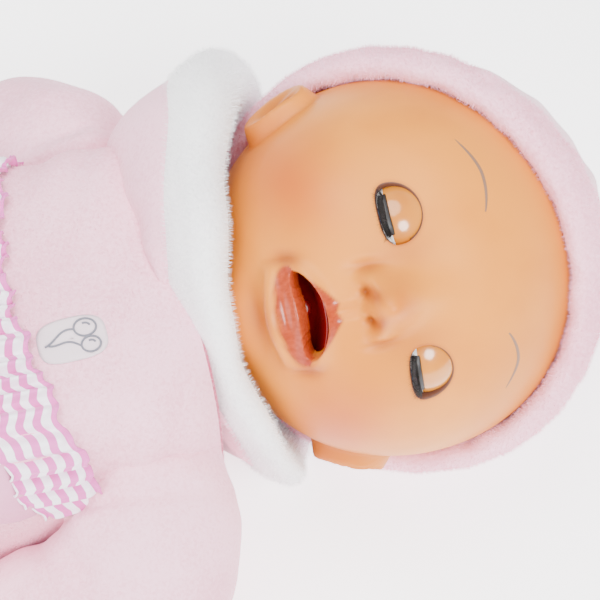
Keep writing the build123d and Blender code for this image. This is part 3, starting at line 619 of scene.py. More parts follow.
def make_eye(side, name, lid, white, lash):
    centre, rows = eye_frame(side)
    points, faces, kinds = [], [], []
    turns, bands = 96, 48
    for i in range(turns):
        phi = math.radians(LASH_LINE + 360 * i / turns)
        for k in range(1, bands):
            psi = -math.pi / 2 + math.pi * k / bands
            on_lid = i <= turns * 0.5
            radius = BALL_R if on_lid else BALL_R - 0.35
            local = radius * np.array([
                math.sin(phi) * math.cos(psi), math.sin(psi), math.cos(phi) * math.cos(psi)
            ])
            points.append(centre + local @ rows)
    wide = bands - 1
    for i in range(turns):
        n = (i + 1) % turns
        for k in range(wide - 1):
            faces.append((i * wide + k, n * wide + k, n * wide + k + 1, i * wide + k + 1))
            kinds.append(0 if i < turns * 0.5 else 1)
    for end, shift in ((0, -1), (wide - 1, 1)):
        points.append(centre + np.array([0, shift * BALL_R, 0]) @ rows)
        for i in range(turns):
            n = (i + 1) % turns
            faces.append((i * wide + end, len(points) - 1, n * wide + end))
            kinds.append(0 if i < turns * 0.5 else 1)
    ball = add_mesh(f"{name}_lid_and_eye", points, faces, [lid, white])
    ball.data.polygons.foreach_set("material_index", kinds)
    tidy_mesh(ball)
    place(ball, f"eye_{name}", "lid_vinyl", f"{name}_eyeball")
    band_points, band_faces = [], []
    count = 40
    section = ((BALL_R - 0.1, -2.0), (BALL_R + 0.7, -1.9), (BALL_R + 0.8, 0.7), (BALL_R - 0.1, 1.1))
    for i in range(count + 1):
        psi = math.radians(-31 + 62 * i / count)
        taper = min(1.0, 4.5 * min(i, count - i) / count + 0.15)
        for radius, high in section:
            radius = BALL_R - 0.1 + (radius - BALL_R + 0.1) * taper
            phi = math.radians(LASH_LINE) + high / BALL_R
            local = radius * np.array(
                [math.sin(phi) * math.cos(psi), math.sin(psi), math.cos(phi) * math.cos(psi)]
            )
            band_points.append(centre + local @ rows)
    for i in range(count):
        for k in range(4):
            n = (k + 1) % 4
            band_faces.append((i * 4 + k, i * 4 + n, (i + 1) * 4 + n, (i + 1) * 4 + k))
    band_faces += [(3, 2, 1, 0), tuple(count * 4 + k for k in range(4))]
    hairs_points, hairs_faces = band_points, band_faces
    rng = np.random.default_rng(SEED + side)
    total = 150
    for i in range(total):
        psi = math.radians(-29 + 58 * (i + rng.uniform(-0.4, 0.4)) / (total - 1))
        reach = 3.6 * (0.72 + 0.28 * math.cos(psi * 2)) * rng.uniform(0.8, 1.05)
        lean = rng.uniform(-0.10, 0.10)
        sweep = psi * rng.uniform(1.05, 1.3)
        base = len(hairs_points)
        for step in range(4):
            t = step / 3
            radius = BALL_R + reach * t
            phi = math.radians(LASH_LINE) - 0.02 - 0.10 * t * t + lean * t
            at = psi + (sweep - psi) * t
            half = 0.11 * (1 - 0.85 * t)
            for spin in range(3):
                angle = 2 * math.pi * spin / 3
                local = radius * np.array([
                    math.sin(phi) * math.cos(at), math.sin(at), math.cos(phi) * math.cos(at)
                ]) + half * np.array([math.cos(angle), math.sin(angle), 0])
                hairs_points.append(centre + local @ rows)
        for step in range(3):
            for spin in range(3):
                n = (spin + 1) % 3
                a = base + step * 3
                hairs_faces.append((a + spin, a + n, a + 3 + n, a + 3 + spin))
        hairs_faces.append((base + 2, base + 1, base))
        hairs_faces.append((base + 9, base + 10, base + 11))
    fringe = add_mesh(f"{name}_lashes", hairs_points, hairs_faces, [lash])
    tidy_mesh(fringe, merge=1e-7)
    place(fringe, f"eye_{name}", "lash_black", f"{name}_eyelash")


def lid_finish():
    made = Finish("glossy_lid", (0.53, 0.17, 0.01), 0.2, Coat_Weight=0.5, Coat_Roughness=0.08)
    tone = made.grain(0.08, 2)
    made.feed("Base Color", made.mix(made.ramp(tone, 0.3, 0.7), (0.50, 0.155, 0.004), (0.60, 0.21, 0.012)))
    grain = made.grain(1.2, 2)
    made.feed("Roughness", grain * 0.08 + 0.17)
    made.bump(grain, 0.06, 0.04)
    return made.material


def eye_white_finish(side):
    """Glossy white ball with an iris and pupil that show when the lid rolls up."""
    made = Finish(f"eye_white_{'left' if side < 0 else 'right'}", (0.85, 0.85, 0.84), 0.08, Coat_Weight=0.8)
    centre, rows = eye_frame(side)
    look = math.radians(LASH_LINE - 31)
    ahead = (math.sin(look) * rows[0] + math.cos(look) * rows[2]) * BALL_R + centre
    spot = made.spot()
    gap = made.node("ShaderNodeVectorMath", {"operation": "DISTANCE"}, spot, tuple(ahead), output="Value")
    rays = made.grain(0.6, 3)
    iris = made.mix(rays, (0.05, 0.12, 0.30), (0.20, 0.36, 0.62))
    colour = made.mix(made.ramp(gap, 5.1, 4.8), (0.86, 0.86, 0.85), (0.02, 0.04, 0.10))
    colour = made.mix(made.ramp(gap, 4.7, 4.4), colour, iris)
    colour = made.mix(made.ramp(gap, 2.4, 2.2), colour, (0.005, 0.005, 0.005))
    made.feed("Base Color", colour)
    return made.material


# ------------------------------------------------------------ cloth shapes
def waves(u, v, seed, count=7, low=0.02, high=0.12):
    """Soft folds: a fixed sum of slanted waves, about -1 to 1."""
    rng = np.random.default_rng(seed)
    total = np.zeros(np.broadcast(u, v).shape)
    for _ in range(count):
        pace = rng.uniform(low, high)
        lean = rng.uniform(-math.pi, math.pi)
        total += np.sin(2 * math.pi * pace * (u * math.cos(lean) + v * math.sin(lean)) + rng.uniform(0, 6.28))
    return total / math.sqrt(count) / 1.4


def loft(name, rows, materials, closed_ends=True, wrap=True, thickness=0.0):
    """A skin over rows of points; each row closes on itself when wrap is set."""
    rows = np.asarray(rows)
    count, around = rows.shape[:2]
    points = list(rows.reshape(-1, 3))
    faces = []
    for i in range(count - 1):
        for k in range(around if wrap else around - 1):
            n = (k + 1) % around
            faces.append((i * around + k, i * around + n, (i + 1) * around + n, (i + 1) * around + k))
    if closed_ends:
        for row in (0, count - 1):
            points.append(rows[row].mean(axis=0))
            for k in range(around):
                faces.append((row * around + k, len(points) - 1, row * around + (k + 1) % around))
    piece = add_mesh(name, points, faces, materials)
    tidy_mesh(piece)
    return give_wall(piece, thickness) if thickness else piece


def give_wall(piece, thickness):
    """Gives an open cloth its thickness, inwards, so that every edge is closed."""
    wall = piece.modifiers.new("wall", "SOLIDIFY")
    wall.thickness = thickness * MM
    wall.offset = -1
    return settle(piece)


def settle(piece):
    """Turns the piece's modifiers into plain mesh."""
    graph = bpy.context.evaluated_depsgraph_get()
    done = bpy.data.meshes.new_from_object(piece.evaluated_get(graph), depsgraph=graph)
    old = piece.data
    piece.modifiers.clear()
    piece.data = done
    done.name = piece.name
    bpy.data.meshes.remove(old)
    return piece


def puff(piece, voxel, pressure, cap):
    """Lets the filling push the cloth out, and keeps each point within cap of its start."""
    remesh = piece.modifiers.new("remesh", "REMESH")
    remesh.mode = "VOXEL"
    remesh.voxel_size = voxel * MM
    settle(piece)
    count = len(piece.data.vertices)
    start = np.empty(count * 3)
    piece.data.vertices.foreach_get("co", start)
    start = start.reshape(-1, 3)
    cloth = piece.modifiers.new("cloth", "CLOTH")
    cloth.settings.use_pressure = True
    cloth.settings.uniform_pressure_force = pressure
    cloth.settings.effector_weights.gravity = 0
    cloth.settings.tension_stiffness = 6.0
    cloth.settings.bending_stiffness = 0.3
    cloth.settings.quality = 4
    cloth.settings.shrink_min = -0.06
    scene = bpy.context.scene
    for number in range(1, 17):
        scene.frame_set(number)
    graph = bpy.context.evaluated_depsgraph_get()
    posed = piece.evaluated_get(graph).to_mesh()
    end = np.empty(count * 3)
    posed.vertices.foreach_get("co", end)
    end = end.reshape(-1, 3)
    piece.evaluated_get(graph).to_mesh_clear()
    piece.modifiers.clear()
    scene.frame_set(1)
    move = end - start
    length = np.linalg.norm(move, axis=1)
    move *= np.minimum(1, cap * MM / np.maximum(length, 1e-9))[:, None]
    spots = start + move
    spots[:, 2] = np.maximum(spots[:, 2], 0.2 * MM)
    piece.data.vertices.foreach_set("co", spots.reshape(-1))
    smooth = piece.modifiers.new("round", "SUBSURF")
    smooth.levels = smooth.render_levels = 1
    settle(piece)
    piece.data.polygons.foreach_set("use_smooth", [True] * len(piece.data.polygons))
    return piece


def pile_tree():
    """Fibres of short fleece on a cloth's surface."""
    tree = bpy.data.node_groups.new("fleece_pile", "GeometryNodeTree")
    face = tree.interface
    face.new_socket("Cloth", in_out="INPUT", socket_type="NodeSocketGeometry")
    for name, kind in (("Density", "NodeSocketFloat"), ("Length", "NodeSocketFloat"),
                       ("Width", "NodeSocketFloat"), ("Lean", "NodeSocketFloat"),
                       ("Seed", "NodeSocketInt"), ("Finish", "NodeSocketMaterial")):
        face.new_socket(name, in_out="INPUT", socket_type=kind)
    face.new_socket("Pile", in_out="OUTPUT", socket_type="NodeSocketGeometry")

    def node(kind, **links):
        made = tree.nodes.new(kind)
        for key, value in links.items():
            key = int(key[1:]) if key[0] == "_" else key.replace("_", " ")
            if isinstance(value, bpy.types.NodeSocket):
                tree.links.new(value, made.inputs[key])
            else:
                made.inputs[key].default_value = value
        return made

    given = tree.nodes.new("NodeGroupInput").outputs
    spread = node("GeometryNodeDistributePointsOnFaces", Mesh=given["Cloth"], Density=given["Density"],
                  Seed=given["Seed"])
    fibre = node("GeometryNodeMeshCone", Vertices=3, Radius_Top=0.0, Radius_Bottom=given["Width"],
                 Depth=given["Length"])
    fibre.fill_type = "NONE"
    tip = node("FunctionNodeRandomValue", Seed=given["Seed"])
    tip.data_type = "FLOAT_VECTOR"
    low = node("ShaderNodeVectorMath", _0=given["Lean"])
    low.operation = "SCALE"
    tree.links.new(tip.outputs[0], low.inputs[0])
    tree.links.new(given["Lean"], low.inputs["Scale"])
    centre = node("ShaderNodeVectorMath")
    centre.operation = "SCALE"
    tree.links.new(given["Lean"], centre.inputs["Scale"])
    centre.inputs[0].default_value = (-0.5, -0.5, -0.5)
    shift = node("ShaderNodeVectorMath", _0=low.outputs[0], _1=centre.outputs[0])
    aim = node("ShaderNodeVectorMath", _0=spread.outputs["Normal"], _1=shift.outputs[0])
    turn = node("FunctionNodeAlignRotationToVector", Vector=aim.outputs[0])
    turn.axis = "Z"
    size = node("FunctionNodeRandomValue", Seed=given["Seed"])
    size.data_type = "FLOAT"
    size.inputs[2].default_value = 0.55
    size.inputs[3].default_value = 1.1
    placed = node("GeometryNodeInstanceOnPoints", Points=spread.outputs["Points"],
                  Instance=fibre.outputs["Mesh"], Rotation=turn.outputs[0], Scale=size.outputs[1])
    real = node("GeometryNodeRealizeInstances", Geometry=placed.outputs[0])
    coated = node("GeometryNodeSetMaterial", Geometry=real.outputs[0], Material=given["Finish"])
    out = tree.nodes.new("NodeGroupOutput")
    tree.links.new(coated.outputs[0], out.inputs[0])
    return tree


PILE = pile_tree()


def grow_pile(cloth, name, finish, per_cm2, length, width=0.09, lean=0.9, seed=SEED):
    """The fibres of one cloth as a plain mesh."""
    base = bpy.data.objects.new(name, cloth.data.copy())
    bpy.context.collection.objects.link(base)
    hairs = base.modifiers.new("pile", "NODES")
    hairs.node_group = PILE
    values = {"Density": per_cm2 * 1e4, "Length": length * MM, "Width": width * MM, "Lean": lean,
              "Seed": seed, "Finish": finish}
    for item in PILE.interface.items_tree:
        if item.in_out == "INPUT" and item.name in values:
            hairs[item.identifier] = values[item.name]
    settle(base)
    base.data.name = name
    spots = np.empty(len(base.data.vertices) * 3)
    base.data.vertices.foreach_get("co", spots)
    spots[2::3] = np.maximum(spots[2::3], 0.05 * MM)
    base.data.vertices.foreach_set("co", spots)
    return base


# ------------------------------------------------------------ hat
HAT_TILT = math.radians(53)
HAT_AXIS = np.array([math.cos(HAT_TILT), 0, -math.sin(HAT_TILT)])
HAT_FRONT = np.array([math.sin(HAT_TILT), 0, math.cos(HAT_TILT)])
HAT_SIDE = np.array([0, 1.0, 0])


def above_floor(points, low=0.3):
    points = np.array(points)
    points[..., 2] = np.maximum(points[..., 2], low)
    return points


def make_hat(cloth, crown_cloth):
    around = 220
    angle = np.linspace(0, 2 * math.pi, around, endpoint=False)
    spin = np.linspace(0, 2 * math.pi, 36, endpoint=False)
    rows = []
    for a in angle:
        fat = 1 + 0.10 * math.sin(2 * a + 0.8) + 0.05 * math.sin(5 * a)
        drift = 1.0 * math.sin(3 * a + 1) + 0.6 * math.sin(7 * a)
        radial = 64.8 + 4.9 * fat * np.cos(spin)
        axial = 3.6 + drift * 0.5 + 8.2 * fat * np.sin(spin)
        pinch = 0.5 * waves(a * 64, spin * 6, 5, 6, 0.03, 0.12)
        radial = radial + pinch
        way = HAT_FRONT * math.cos(a) + HAT_SIDE * math.sin(a)
        rows.append(in_row(radial[:, None] * way + axial[:, None] * HAT_AXIS))
    rows.append(rows[0])
    brim = loft("hat_brim_roll", above_floor(rows), [cloth], closed_ends=False)
    rows = []
    for i in range(56):
        theta = math.radians(86 - 85.5 * i / 55)
        reach = 64.6 + 0.9 * waves(angle * 64 * math.sin(theta), theta * 64, 9, 7, 0.015, 0.05)
        slack = 5.2 * np.exp(-(((theta - 1.05) / 0.42) ** 2))
        side = np.clip(np.cos(angle - math.radians(40)), 0, 1) ** 1.2
        gathers = 0.8 * np.sin(angle * 26 + 2 * np.sin(angle * 3)) * math.exp(-((theta - 1.35) / 0.2) ** 2)
        reach = reach + slack * side + gathers
        way = (
            np.cos(angle)[:, None] * HAT_FRONT + np.sin(angle)[:, None] * HAT_SIDE
        ) * math.sin(theta) + HAT_AXIS * math.cos(theta)
        rows.append(in_row(reach[:, None] * way))
    # The crown takes the crown cloth, a greyer copy of the pink fleece as painted shade.
    crown = loft("hat_crown_cloth", above_floor(rows), [crown_cloth], closed_ends=False)
    fill = bmesh.new()
    fill.from_mesh(crown.data)
    loops = [e for e in fill.edges if e.is_boundary and e.verts[0].co.length > 0]
    tip = in_row(HAT_AXIS * 64.6) * MM
    near = [e for e in loops if (np.linalg.norm(np.array(e.verts[0].co) - tip)) < 0.02]
    bmesh.ops.edgeloop_fill(fill, edges=near)
    fill.to_mesh(crown.data)
    fill.free()
    return brim, give_wall(crown, 1.2)


# ------------------------------------------------------------ collar
COLLAR_OFFSET = 6.0
COLLAR_START = math.radians(20)


def collar_rim(angle):
    """How far the collar's edge stands from the middle of the head towards the neck."""
    lean = math.cos(angle - FACE_TURN_ANGLE)
    return 57.0 - 14.5 * (1 - lean)


FACE_TURN_ANGLE = math.atan2(FACE.z, FACE.y)


def collar_spot(radius, polar, angle):
    """A point of the collar: polar from the neck axis, angle round it (0 at +Y, quarter turn at +Z)."""
    out = COLLAR_OFFSET + radius * math.sin(polar)
    return (
        HEAD.x * 1000 - radius * math.cos(polar),
        out * math.cos(angle),
        NECK_Z * 1000 + out * math.sin(angle),
    )


def make_collar(white, pink):
    around = 200
    lining_rows, shell_rows = [], []
    for k in range(around):
        angle = 2 * math.pi * k / around
        rim = collar_rim(angle)
        lean = (1 + math.cos(angle - math.radians(20))) / 2
        flop = math.exp(-((math.remainder(angle - math.radians(12), 2 * math.pi) / math.radians(46)) ** 2))
        rim -= 5.0 * flop
        thick = 9.0 + 7.0 * lean + 0.8 * math.sin(5 * angle) + 6.0 * flop
        inner = 64.2
        outer = inner + thick
        end_in = math.acos(min(0.995, rim / inner))
        end_in = max(end_in, COLLAR_START + 0.12)
        wave = 0.02 * math.sin(4 * angle + 1) + 0.012 * math.sin(9 * angle)
        end_in += wave
        row = []
        for t in np.linspace(0, 1, 10):
            row.append(
                collar_spot(inner + 1.2 * t * (1 - t) * 4, COLLAR_START + (end_in - COLLAR_START) * t, angle)
            )
        rim_middle = (inner + outer) / 2
        for t in np.linspace(0.08, 0.92, 12):
            turn = math.pi * t
            radius = rim_middle - thick / 2 * math.cos(turn)
            row.append(collar_spot(radius, end_in + (4.2 + 0.2 * thick) * math.sin(turn) / rim_middle, angle))
        fold = 0.16 + 0.05 * math.sin(3 * angle + 2)
        for t in np.linspace(0, 1, 8):
            row.append(collar_spot(outer + 0.8 * math.sin(math.pi * t), end_in - fold * t, angle))
        for t in np.linspace(0, 1, 10):
            stop = end_in - fold
            row.append(collar_spot(outer - 4.0, stop + (COLLAR_START - stop) * t, angle))
        lining_rows.append(row)
        row = []
        shell_in, shell_out = outer - 3.4, outer - 0.6 + 1.5
        stop = end_in - fold * 0.72
        start = COLLAR_START - 0.03
        for t in np.linspace(0, 1, 12):
            row.append(collar_spot(shell_in, start + (stop - start) * t, angle))
        for t in np.linspace(0, 1, 14):
            bulge = (1.8 + 5.0 * flop) * math.sin(math.pi * t) + 0.5 * math.sin(angle * 11 + 6 * t)
            row.append(collar_spot(shell_out + bulge, stop + (start - stop) * t, angle))
        shell_rows.append(row)
    lining_rows.append(lining_rows[0])
    shell_rows.append(shell_rows[0])
    lining = loft("collar_fleece", above_floor(lining_rows), [white], closed_ends=False)
    shell = loft("collar_cloth", above_floor(shell_rows), [pink], closed_ends=False)
    return lining, shell


# ------------------------------------------------------------ jacket
JACKET_LOW, JACKET_HIGH = (np.array(v) * 1000 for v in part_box("jacket_body"))
SHOULDER = {
    side: np.array(JOINTS[f"shoulder_{name}"]["pos_m"]) * 1000 for side, name in ((-1, "left"), (1, "right"))
}
HIP = {side: np.array(JOINTS[f"hip_{name}"]["pos_m"]) * 1000 for side, name in ((-1, "left"), (1, "right"))}


BLOCK_POWER = 4.0
NECK_EDGE_X = 95.0


def body_section(x, angle, grow=0.0):
    """A point of the jacket's surface at x, at an angle round the body (0 at +Y, 90 degrees at the chest)."""
    closing = max(0.0, (x - 74.0) / (NECK_EDGE_X - 74.0))
    half_w = 57.6 * (1 - 0.17 * closing**2.2)
    low, high = 0.3, JACKET_HIGH[2] + 0.6
    middle, half_h = (low + high) / 2, (high - low) / 2
    half_h *= 1 - 0.06 * closing**2
    c, s = math.cos(angle), math.sin(angle)
    radius = (abs(c / half_w) ** BLOCK_POWER + abs(s / half_h) ** BLOCK_POWER) ** (-1 / BLOCK_POWER)
    y, z = radius * c, radius * s
    out = np.array([
        0,
        math.copysign(abs(y / half_w) ** (BLOCK_POWER - 1), y) / half_w,
        math.copysign(abs(z / half_h) ** (BLOCK_POWER - 1), z) / half_h,
    ])
    out /= np.linalg.norm(out) + 1e-12
    return np.array([x, y, middle + z]) + out * grow


def chest_folds(x, angle):
    """Soft hollows and ridges of the cloth, deeper where the sleeves pull."""
    across = angle * 55
    pull = waves(x * 1.4, across * 0.6, 21, 8, 0.010, 0.030)
    armhole = sum(np.exp(-(((x - 70) / 15) ** 2 + ((across - at) / 24) ** 2)) for at in (36, 138))
    creases = np.sin((x + (across - 87) * 0.5) * 0.33) * armhole
    return 0.9 * pull + 1.0 * creases


def body_depth(spot):
    """How deep a point lies under the jacket's surface, in millimetres."""
    middle = body_section(spot[0], math.radians(90))[2] / 2
    angle = math.atan2(spot[2] - middle, spot[1])
    skin = body_section(spot[0], angle)
    return math.hypot(skin[1], skin[2] - middle) - math.hypot(spot[1], spot[2] - middle)


def make_jacket(cloth, lining):
    """The jacket's body: open at the neck and at the back over the sound module."""
    xs = np.concatenate((np.linspace(JACKET_LOW[0] + 0.6, NECK_EDGE_X - 6, 96),
                         np.linspace(NECK_EDGE_X - 5.2, NECK_EDGE_X, 9)))
    angles = np.linspace(0, 2 * math.pi, 288, endpoint=False)
    rows = []
    for x in xs:
        settled = min(1.0, (x - JACKET_LOW[0]) / 8) * min(1.0, (NECK_EDGE_X + 3 - x) / 8)
        droop = 1.6 * max(0.0, (x - NECK_EDGE_X + 7) / 7) ** 2
        rows.append([body_section(x, a, chest_folds(x, a) * settled - droop) for a in angles])
    for ahead, inward in ((0.9, 3.0), (0.9, 4.6), (0.0, 6.0), (-3.0, 7.4), (-7.0, 8.0)):
        rows.append([body_section(NECK_EDGE_X, a, -inward) + (ahead, 0, 0) for a in angles])
    hem = [[body_section(JACKET_LOW[0] + 0.6, a, -inward) + (ahead, 0, 0) for a in angles]
           for ahead, inward in ((7.0, 3.2), (2.0, 3.0), (-0.5, 1.8), (-0.6, 0.8))]
    jacket = loft("jacket_cloth", above_floor(hem + rows, 0.1), [cloth, lining], closed_ends=False)
    # Faces turned in at the neck take the second material, a dark rose painted shade for the shadow inside the
    # neck opening.
    for face in jacket.data.polygons:
        if face.center.x > (NECK_EDGE_X + 0.3) * MM or (face.center.x > (NECK_EDGE_X - 8) * MM and
                                                       body_depth(face.center * 1000) > 2.2):
            face.material_index = 1
    low, high = (np.array(v) * 1000 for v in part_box("module_back_case"))
    middle, half = (low + high) / 2, (high - low) / 2 + 3.0
    shape = bmesh.new()
    shape.from_mesh(jacket.data)
    gone = [
        f for f in shape.faces
        if (lambda spot: np.all(np.abs(spot[:2] - middle[:2]) < half[:2]) and spot[2] < 12)(
            np.array(f.calc_center_median()) * 1000)
    ]
    bmesh.ops.delete(shape, geom=gone, context="FACES")
    rim = [e for e in shape.edges if e.is_boundary and e.verts[0].co.z < 0.012
           and all(
               abs(v.co.x * 1000 - middle[0]) < half[0] + 4
               and abs(v.co.y * 1000) < half[1] + 4 for v in e.verts
           )]
    turned = bmesh.ops.extrude_edge_only(shape, edges=rim)["geom"]
    for vert in (g for g in turned if isinstance(g, bmesh.types.BMVert)):
        vert.co.z += 2.4 * MM
    bmesh.ops.recalc_face_normals(shape, faces=shape.faces)
    shape.to_mesh(jacket.data)
    shape.free()
    jacket.data.polygons.foreach_set("use_smooth", [True] * len(jacket.data.polygons))
    return jacket


# ------------------------------------------------------------ striped ruffle
RUFFLE_FIRST, RUFFLE_LAST = math.radians(18), math.radians(163)
RUFFLE_TOP = 43.0
RUFFLE_WIDE = 23.0


def strip_shift(angle):
    """How far the strips across the chest climb towards the arms."""
    side = abs(angle - math.pi / 2) / math.radians(70)
    return 15.0 * side**1.8


def make_ruffle(stripe):
    """A gathered strip across the chest, with its stripes running along it."""
    length, wide = 620, 44
    rows = []
    for i in range(wide + 1):
        t = i / wide
        row = []
        for s in np.linspace(0, 1, length + 1):
            angle = RUFFLE_FIRST + (RUFFLE_LAST - RUFFLE_FIRST) * s
            travel = s * 165
            phase = travel * 0.92 + 1.3 * math.sin(travel * 0.21) + 0.9 * math.sin(travel * 0.083 + 2)
            held = math.exp(-(((t - 0.07) / 0.05) ** 2)) + math.exp(-(((t - 0.93) / 0.05) ** 2))
            gather = 1 - 0.62 * held
            swing = math.sin(phase + 1.2 * t) + 0.4 * math.sin(2.1 * phase + 2.4 * t)
            x = RUFFLE_TOP - RUFFLE_WIDE * t + strip_shift(angle)
            x += 0.8 * math.cos(phase) * gather + 1.1 * math.sin(travel * 0.31 + 1)
            row.append(body_section(x, angle, 2.6 + 1.7 * gather * swing - 0.7 * held))
        rows.append(row)
    ruffle = loft("striped_ruffle", rows, [stripe], closed_ends=False, wrap=False)
    layer = ruffle.data.attributes.new("along", "FLOAT", "POINT")
    order = np.repeat(np.linspace(0, 1, wide + 1), length + 1)
    layer.data.foreach_set("value", order.astype(np.float32))
    wall = ruffle.modifiers.new("cloth", "SOLIDIFY")
    wall.thickness = 0.5 * MM
    wall.offset = 0
    settle(ruffle)
    return ruffle


def stripe_finish():
    made = Finish("pink_stripe_cotton", (0.86, 0.84, 0.86), 0.85, Sheen_Weight=0.3)
    along = made.painted("along")
    band = made.node("ShaderNodeMath", {"operation": "SINE"}, along * (2 * math.pi * 4.5) + 0.6)
    wobble = made.grain(0.4, 2)
    mask = made.ramp(band + wobble * 0.25, 0.05, 0.22)
    made.feed("Base Color", made.mix(mask, (0.93, 0.88, 0.94), (0.72, 0.13, 0.46)))
    weave = made.grain(2.6, 1)
    made.bump(weave, 0.35, 0.2)
    return made.material


def make_band(cloth):
    """The smooth strip sewn below the ruffle."""
    rows = []
    for t in np.linspace(0, 1, 14):
        lift = 1.2 + 1.1 * math.sin(math.pi * t)
        rows.append([
            body_section(RUFFLE_TOP - RUFFLE_WIDE + 1.5 - 15 * t + strip_shift(a), a,
                         lift + 0.2 * math.sin(a * 46 + 3 * t) + 0.3 * math.sin(a * 17))
            for a in np.linspace(RUFFLE_FIRST, RUFFLE_LAST, 320)
        ])
    return loft("waist_band_cloth", rows, [cloth], closed_ends=False, wrap=False, thickness=0.5)


# ------------------------------------------------------------ sewn motif
def chest_spot(x, y, lift):
    """The jacket's surface straight out from a point of the chest."""
    angle = math.radians(90)
    for _ in range(12):
        spot = body_section(x, angle)
        angle += (spot[1] - y) / max(np.hypot(spot[1], spot[2] - 48), 20)
    return body_section(x, angle, chest_folds(x, angle) + lift)


def thread(name, paths, radius, material):
    points, faces = [], []
    for path in paths:
        path = np.asarray(path)
        tangent = np.gradient(path, axis=0)
        tangent /= np.linalg.norm(tangent, axis=1)[:, None] + 1e-9
        up = np.array([0, -0.2, 1.0])
        base = len(points)
        for spot, along in zip(path, tangent):
            side = np.cross(along, up)
            side /= np.linalg.norm(side) + 1e-9
            high = np.cross(side, along)
            for k in range(6):
                angle = 2 * math.pi * k / 6
                points.append(spot + radius * (math.cos(angle) * side + math.sin(angle) * high))
        for i in range(len(path) - 1):
            for k in range(6):
                n = (k + 1) % 6
                a = base + i * 6
                faces.append((a + k, a + n, a + 6 + n, a + 6 + k))
        faces.append(tuple(base + k for k in range(5, -1, -1)))
        faces.append(tuple(base + (len(path) - 1) * 6 + k for k in range(6)))
    piece = add_mesh(name, points, faces, [material])
    tidy_mesh(piece)
    return piece


def make_motif(patch_cloth, grey):
    """Two plain balloons on strings, in grey satin stitch on a small pale patch."""
    low, high = (np.array(v) * 1000 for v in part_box("chest_motif"))
    middle = (low + high) / 2
    cx, cy = middle[0], middle[1]
    rows = []
    for t in np.linspace(0.02, 1, 10):
        ring = []
        for a in np.linspace(0, 2 * math.pi, 72, endpoint=False):
            c, s = math.cos(a), math.sin(a)
            x = cx + 10.5 * t * math.copysign(abs(c) ** 0.6, c)
            y = cy + 7.2 * t * math.copysign(abs(s) ** 0.6, s)
            ring.append(chest_spot(x, y, 0.75 - 0.35 * t**8))
        rows.append(ring)
    patch = loft("motif_patch", rows, [patch_cloth], closed_ends=False, thickness=0.4)
    paths = []

    def line(points, lift=1.0):
        paths.append([chest_spot(cx + px, cy + py, lift) for px, py in points])

    for bx, by, size in ((4.5, 2.6, 2.9), (5.2, -3.2, 2.5)):
        line(
            [
                (
                    bx + size * 1.15 * math.cos(t), by + size * math.sin(t)
                ) for t in np.linspace(0, 2 * math.pi, 40)
            ]
        )
        line(
            [
                (
                    bx + size * 0.55 * math.cos(t), by + size * 0.5 * math.sin(t)
                ) for t in np.linspace(0.3, 1.9, 12)
            ]
        )
        line(
            [
                (
                    bx - size * 1.15 - 9.5 * t, by * (1 - t) + 0.9 * math.sin(5 * t)
                ) for t in np.linspace(0, 1, 26)
            ]
        )
    return patch, thread("motif_thread", paths, 0.32, grey)


# ------------------------------------------------------------ sleeves, legs, bootees
def swept(name, path, radii, materials, folds, around=96, squash=1.0, count=110):
    """A cloth tube along a smooth path; radii at the path's own knots."""
    path, radii = np.asarray(path, float), np.asarray(radii, float)
    knots = np.concatenate(([0], np.cumsum(np.linalg.norm(np.diff(path, axis=0), axis=1))))
    s = np.linspace(0, knots[-1], count)
    spots = np.stack([np.interp(s, knots, path[:, k]) for k in range(3)], -1)
    size = np.interp(s, knots, radii)
    for _ in range(24):
        spots[1:-1] = (spots[:-2] + 2 * spots[1:-1] + spots[2:]) / 4
        size[1:-1] = (size[:-2] + 2 * size[1:-1] + size[2:]) / 4
    along = np.gradient(spots, axis=0)
    along /= np.linalg.norm(along, axis=1)[:, None]
    rows = []
    for spot, way, radius, at in zip(spots, along, size, s):
        side = np.cross(way, (0, 0, 1.0))
        if np.linalg.norm(side) < 0.2:
            side = np.array([1.0, 0, 0])
        side /= np.linalg.norm(side)
        high = np.cross(side, way)
        angle = np.linspace(0, 2 * math.pi, around, endpoint=False)
        reach = radius + folds(at, angle, radius)
        rows.append(
            spot + reach[:, None] * (np.cos(angle)[:, None] * side + squash * np.sin(angle)[:, None] * high)
        )
    return loft(name, above_floor(rows, 0.2), materials, closed_ends=True)


def arm_way(side):
    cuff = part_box(f"{'left' if side < 0 else 'right'}_cuff")
    end = (np.array(cuff[0]) + np.array(cuff[1])) * 500
    way = end - SHOULDER[side]
    return end, way / np.linalg.norm(way)


def make_sleeve(side, name, cloth):
    end, way = arm_way(side)
    root = SHOULDER[side]
    inner = np.array([root[0] + 12, side * 40, root[2] + 11])
    path = [
        inner, root + (9, -side * 15, 8), root + (3, 0, 3), root + way * 30, root + way * 60, end + way * 1.0
    ]
    radii = [24, 28.0, 27.0, 23.0, 20.4, 18.0]

    def folds(at, angle, radius):
        ring = 1.1 * waves(at * 1.0, angle * radius * 0.45, 31 + side, 9, 0.02, 0.07)
        bend = 0.9 * np.sin(at * 0.42 + 1.2 * np.sin(angle + 0.6)) * math.exp(-(((at - 62) / 15) ** 2))
        seam = -0.7 * math.exp(-(((at - 22) / 1.6) ** 2))
        gather = 0.7 * np.sin(angle * 17) * math.exp(-(((at - 132) / 8) ** 2))
        return ring + bend + seam + gather - 0.6

    piece = swept(f"{name}_sleeve_cloth", path, radii, [cloth], folds)
    return piece


